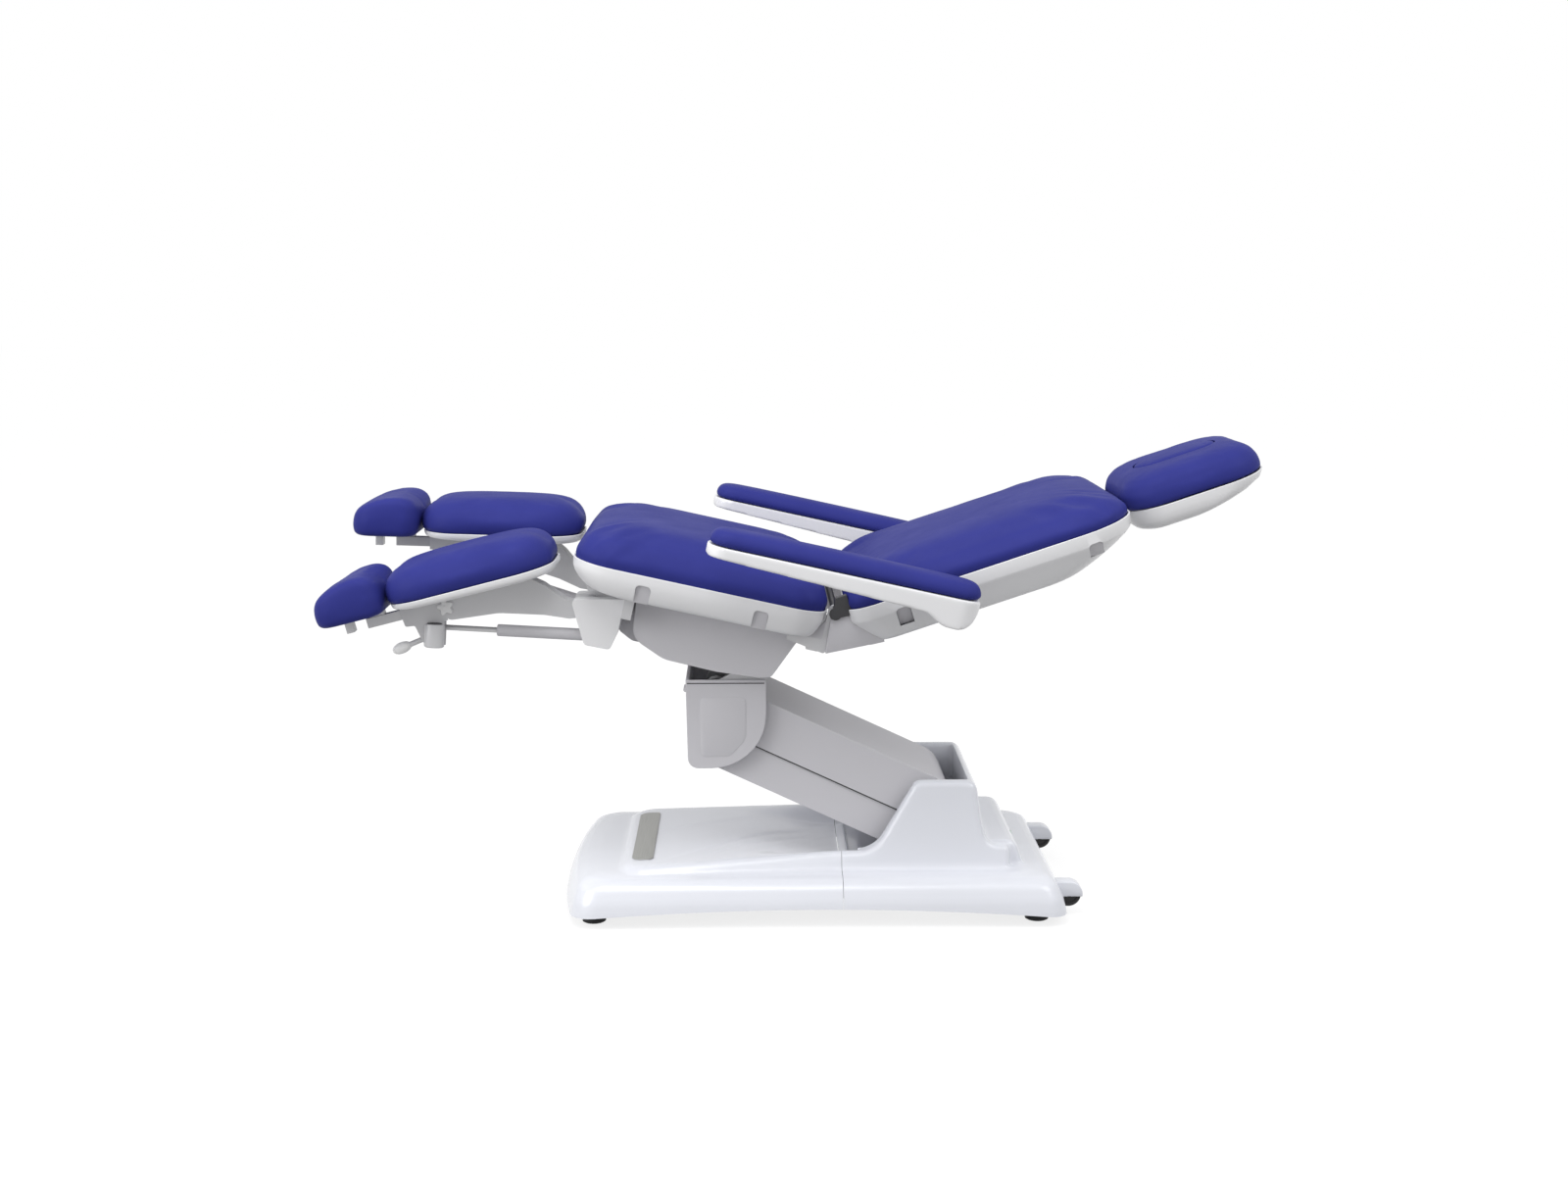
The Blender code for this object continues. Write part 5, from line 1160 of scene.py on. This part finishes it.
def build_lever(name, place):
    """Release lever with an oval knob."""
    node = f"release_lever_{name}"
    low, high = extent(node, place)
    across = (low.y + high.y) / 2.0
    knob_at = Vector((low.x + 0.0205, across, low.z + 0.0125))
    pivot = Vector((high.x - 0.004, across, high.z - 0.005))
    arm = together(bar(knob_at, pivot, 0.0056), bar(pivot - Vector((0.0, 0.006, 0.0)),
                                                    pivot + Vector((0.0, 0.006, 0.0)), 0.0075))
    piece(f"{node}_look", softened(arm, 0.0010), "cast", f"lever_{name}", place, (node,))
    run = pivot - knob_at
    turn = Matrix.Rotation(math.atan2(-run.z, run.x), 4, "Y")
    knob = bmesh.new()
    place_knob = Matrix.Translation(knob_at) @ turn @ Matrix.Diagonal((0.0205, 0.010, 0.0118, 1.0))
    bmesh.ops.create_uvsphere(knob, u_segments=32, v_segments=20, radius=1.0, matrix=place_knob)
    piece(f"release_knob_{name}", knob, "knob", f"lever_{name}", place)


# Stage

def stage_floor():
    """A white floor that keeps the shadow and meets a white surround."""
    bm = bmesh.new()
    bmesh.ops.create_grid(bm, x_segments=1, y_segments=1, size=30.0)
    mesh = meshed(bm, "floor")
    material = bpy.data.materials.new("floor")
    material.use_nodes = True
    tree = material.node_tree
    tree.nodes.clear()
    diffuse = wired(tree, "ShaderNodeBsdfDiffuse", {"Color": FLOOR_COLOUR})
    seen = wired(tree, "ShaderNodeLightPath", {}).outputs
    share = combined(tree, "MAXIMUM", seen["Is Camera Ray"], seen["Is Glossy Ray"])
    share = combined(tree, "MAXIMUM", share, seen["Is Transmission Ray"])
    glow = wired(tree, "ShaderNodeEmission", {"Strength": combined(tree, "MULTIPLY", share, FLOOR_GLOW)})
    both = wired(tree, "ShaderNodeAddShader", {0: diffuse.outputs[0], 1: glow.outputs[0]})
    wired(tree, "ShaderNodeOutputMaterial", {"Surface": both.outputs[0]})
    mesh.materials.append(material)
    floor = placed("floor", mesh)


def stage_world():
    world = bpy.data.worlds.new("surround")
    bpy.context.scene.world = world
    world.use_nodes = True
    tree = world.node_tree
    sky = tree.nodes["Background"]
    sky.inputs["Color"].default_value = (1.0, 1.0, 1.0, 1.0)
    seen = wired(tree, "ShaderNodeLightPath", {}).outputs
    share = combined(tree, "MAXIMUM", seen["Is Camera Ray"], seen["Is Transmission Ray"])
    tree.links.new(ranged(tree, share, 0.0, 1.0, settings().stage.sky, 1.0), sky.inputs["Strength"])


def lamp(name, place, aim, size, power):
    light = bpy.data.lights.new(name, "AREA")
    light.shape = "DISK"
    light.size = size
    light.energy = power
    item = placed(name, light)
    item.location = place
    item.rotation_euler = (Vector(aim) - Vector(place)).to_track_quat("-Z", "Y").to_euler()


def stage_camera():
    stage = settings().stage
    data = bpy.data.cameras.new("camera")
    data.lens = stage.lens
    data.sensor_width = SENSOR_WIDTH
    camera = placed("camera", data)
    camera.location = stage.camera_place
    camera.rotation_euler = (stage.camera_pitch, 0.0, stage.camera_yaw)
    bpy.context.scene.camera = camera


def build_stage():
    stage = settings().stage
    stage_floor()
    stage_world()
    lamp("key", (-0.6, -1.2, 3.6), (0.0, 0.0, 0.5), 2.6, stage.key_power)
    lamp("fill", (-2.8, -1.6, 1.8), (-0.1, 0.0, 0.3), 2.0, stage.fill_power)
    lamp("rear", (2.4, -1.2, 2.6), (0.2, 0.0, 0.4), 2.0, stage.rear_power)
    stage_camera()
    bpy.context.scene.view_settings.view_transform = "Standard"


# Add-on classes

class StepOperator:
    """What every step shares: it runs one builder and reports."""

    bl_options = {"REGISTER", "UNDO"}

    def execute(self, context):
        if not LOOKS:
            LOOKS.update(make_looks())
        before = len(bpy.data.objects)
        self.build()
        if len(bpy.data.objects) <= before:
            raise RuntimeError(f"{self.bl_label} made nothing")
        return {"FINISHED"}


class TABLE_OT_base(StepOperator, bpy.types.Operator):
    """Build the moulded base, its feet, wheels and fittings"""

    bl_idname = "table.base"
    bl_label = "Base"
    build = staticmethod(build_base)


class TABLE_OT_lift(StepOperator, bpy.types.Operator):
    """Build the lift's links, covers and drive"""

    bl_idname = "table.lift"
    bl_label = "Lift"
    build = staticmethod(build_lift)


class TABLE_OT_seat(StepOperator, bpy.types.Operator):
    """Build the seat with its pan, drives and castings"""

    bl_idname = "table.seat"
    bl_label = "Seat"
    build = staticmethod(build_seat)


class TABLE_OT_back(StepOperator, bpy.types.Operator):
    """Build the back with its frame"""

    bl_idname = "table.back"
    bl_label = "Back"
    build = staticmethod(build_back)


class TABLE_OT_headrest(StepOperator, bpy.types.Operator):
    """Build the headrest, its posts and its plug"""

    bl_idname = "table.headrest"
    bl_label = "Headrest"
    build = staticmethod(build_headrest)


class TABLE_OT_armrests(StepOperator, bpy.types.Operator):
    """Build both armrests"""

    bl_idname = "table.armrests"
    bl_label = "Armrests"
    build = staticmethod(build_armrests)


class TABLE_OT_legs(StepOperator, bpy.types.Operator):
    """Build both leg rests with foot pads, knobs, springs and levers"""

    bl_idname = "table.legs"
    bl_label = "Leg rests"
    build = staticmethod(build_legs)


class TABLE_OT_stage(StepOperator, bpy.types.Operator):
    """Build the floor, the surround, the lamps and the camera"""

    bl_idname = "table.stage"
    bl_label = "Stage"
    build = staticmethod(build_stage)


class TABLE_PT_panel(bpy.types.Panel):
    """Buttons for the steps, in order, and the main settings."""

    bl_label = "Treatment Table"
    bl_idname = "TABLE_PT_panel"
    bl_space_type = "VIEW_3D"
    bl_region_type = "UI"
    bl_category = "Table"

    def draw(self, context):
        for step in STEPS:
            self.layout.operator(step.bl_idname)
        values = context.scene.treatment_table
        for group in (values.colours, values.pads, values.mould, values.stage):
            box = self.layout.box()
            for name in group.__annotations__:
                box.prop(group, name)


STEPS = (TABLE_OT_base, TABLE_OT_lift, TABLE_OT_seat, TABLE_OT_back, TABLE_OT_headrest, TABLE_OT_armrests,
         TABLE_OT_legs, TABLE_OT_stage)
CLASSES = (TableColours, PadSizes, MouldSizes, StageSettings, TableSettings, *STEPS, TABLE_PT_panel)


def register():
    for item in CLASSES:
        bpy.utils.register_class(item)
    bpy.types.Scene.treatment_table = PointerProperty(type=TableSettings)


def unregister():
    del bpy.types.Scene.treatment_table
    for item in reversed(CLASSES):
        bpy.utils.unregister_class(item)


def main():
    register()
    for step in STEPS:
        group, name = step.bl_idname.split(".")
        getattr(getattr(bpy.ops, group), name)()


if __name__ == "__main__":
    main()
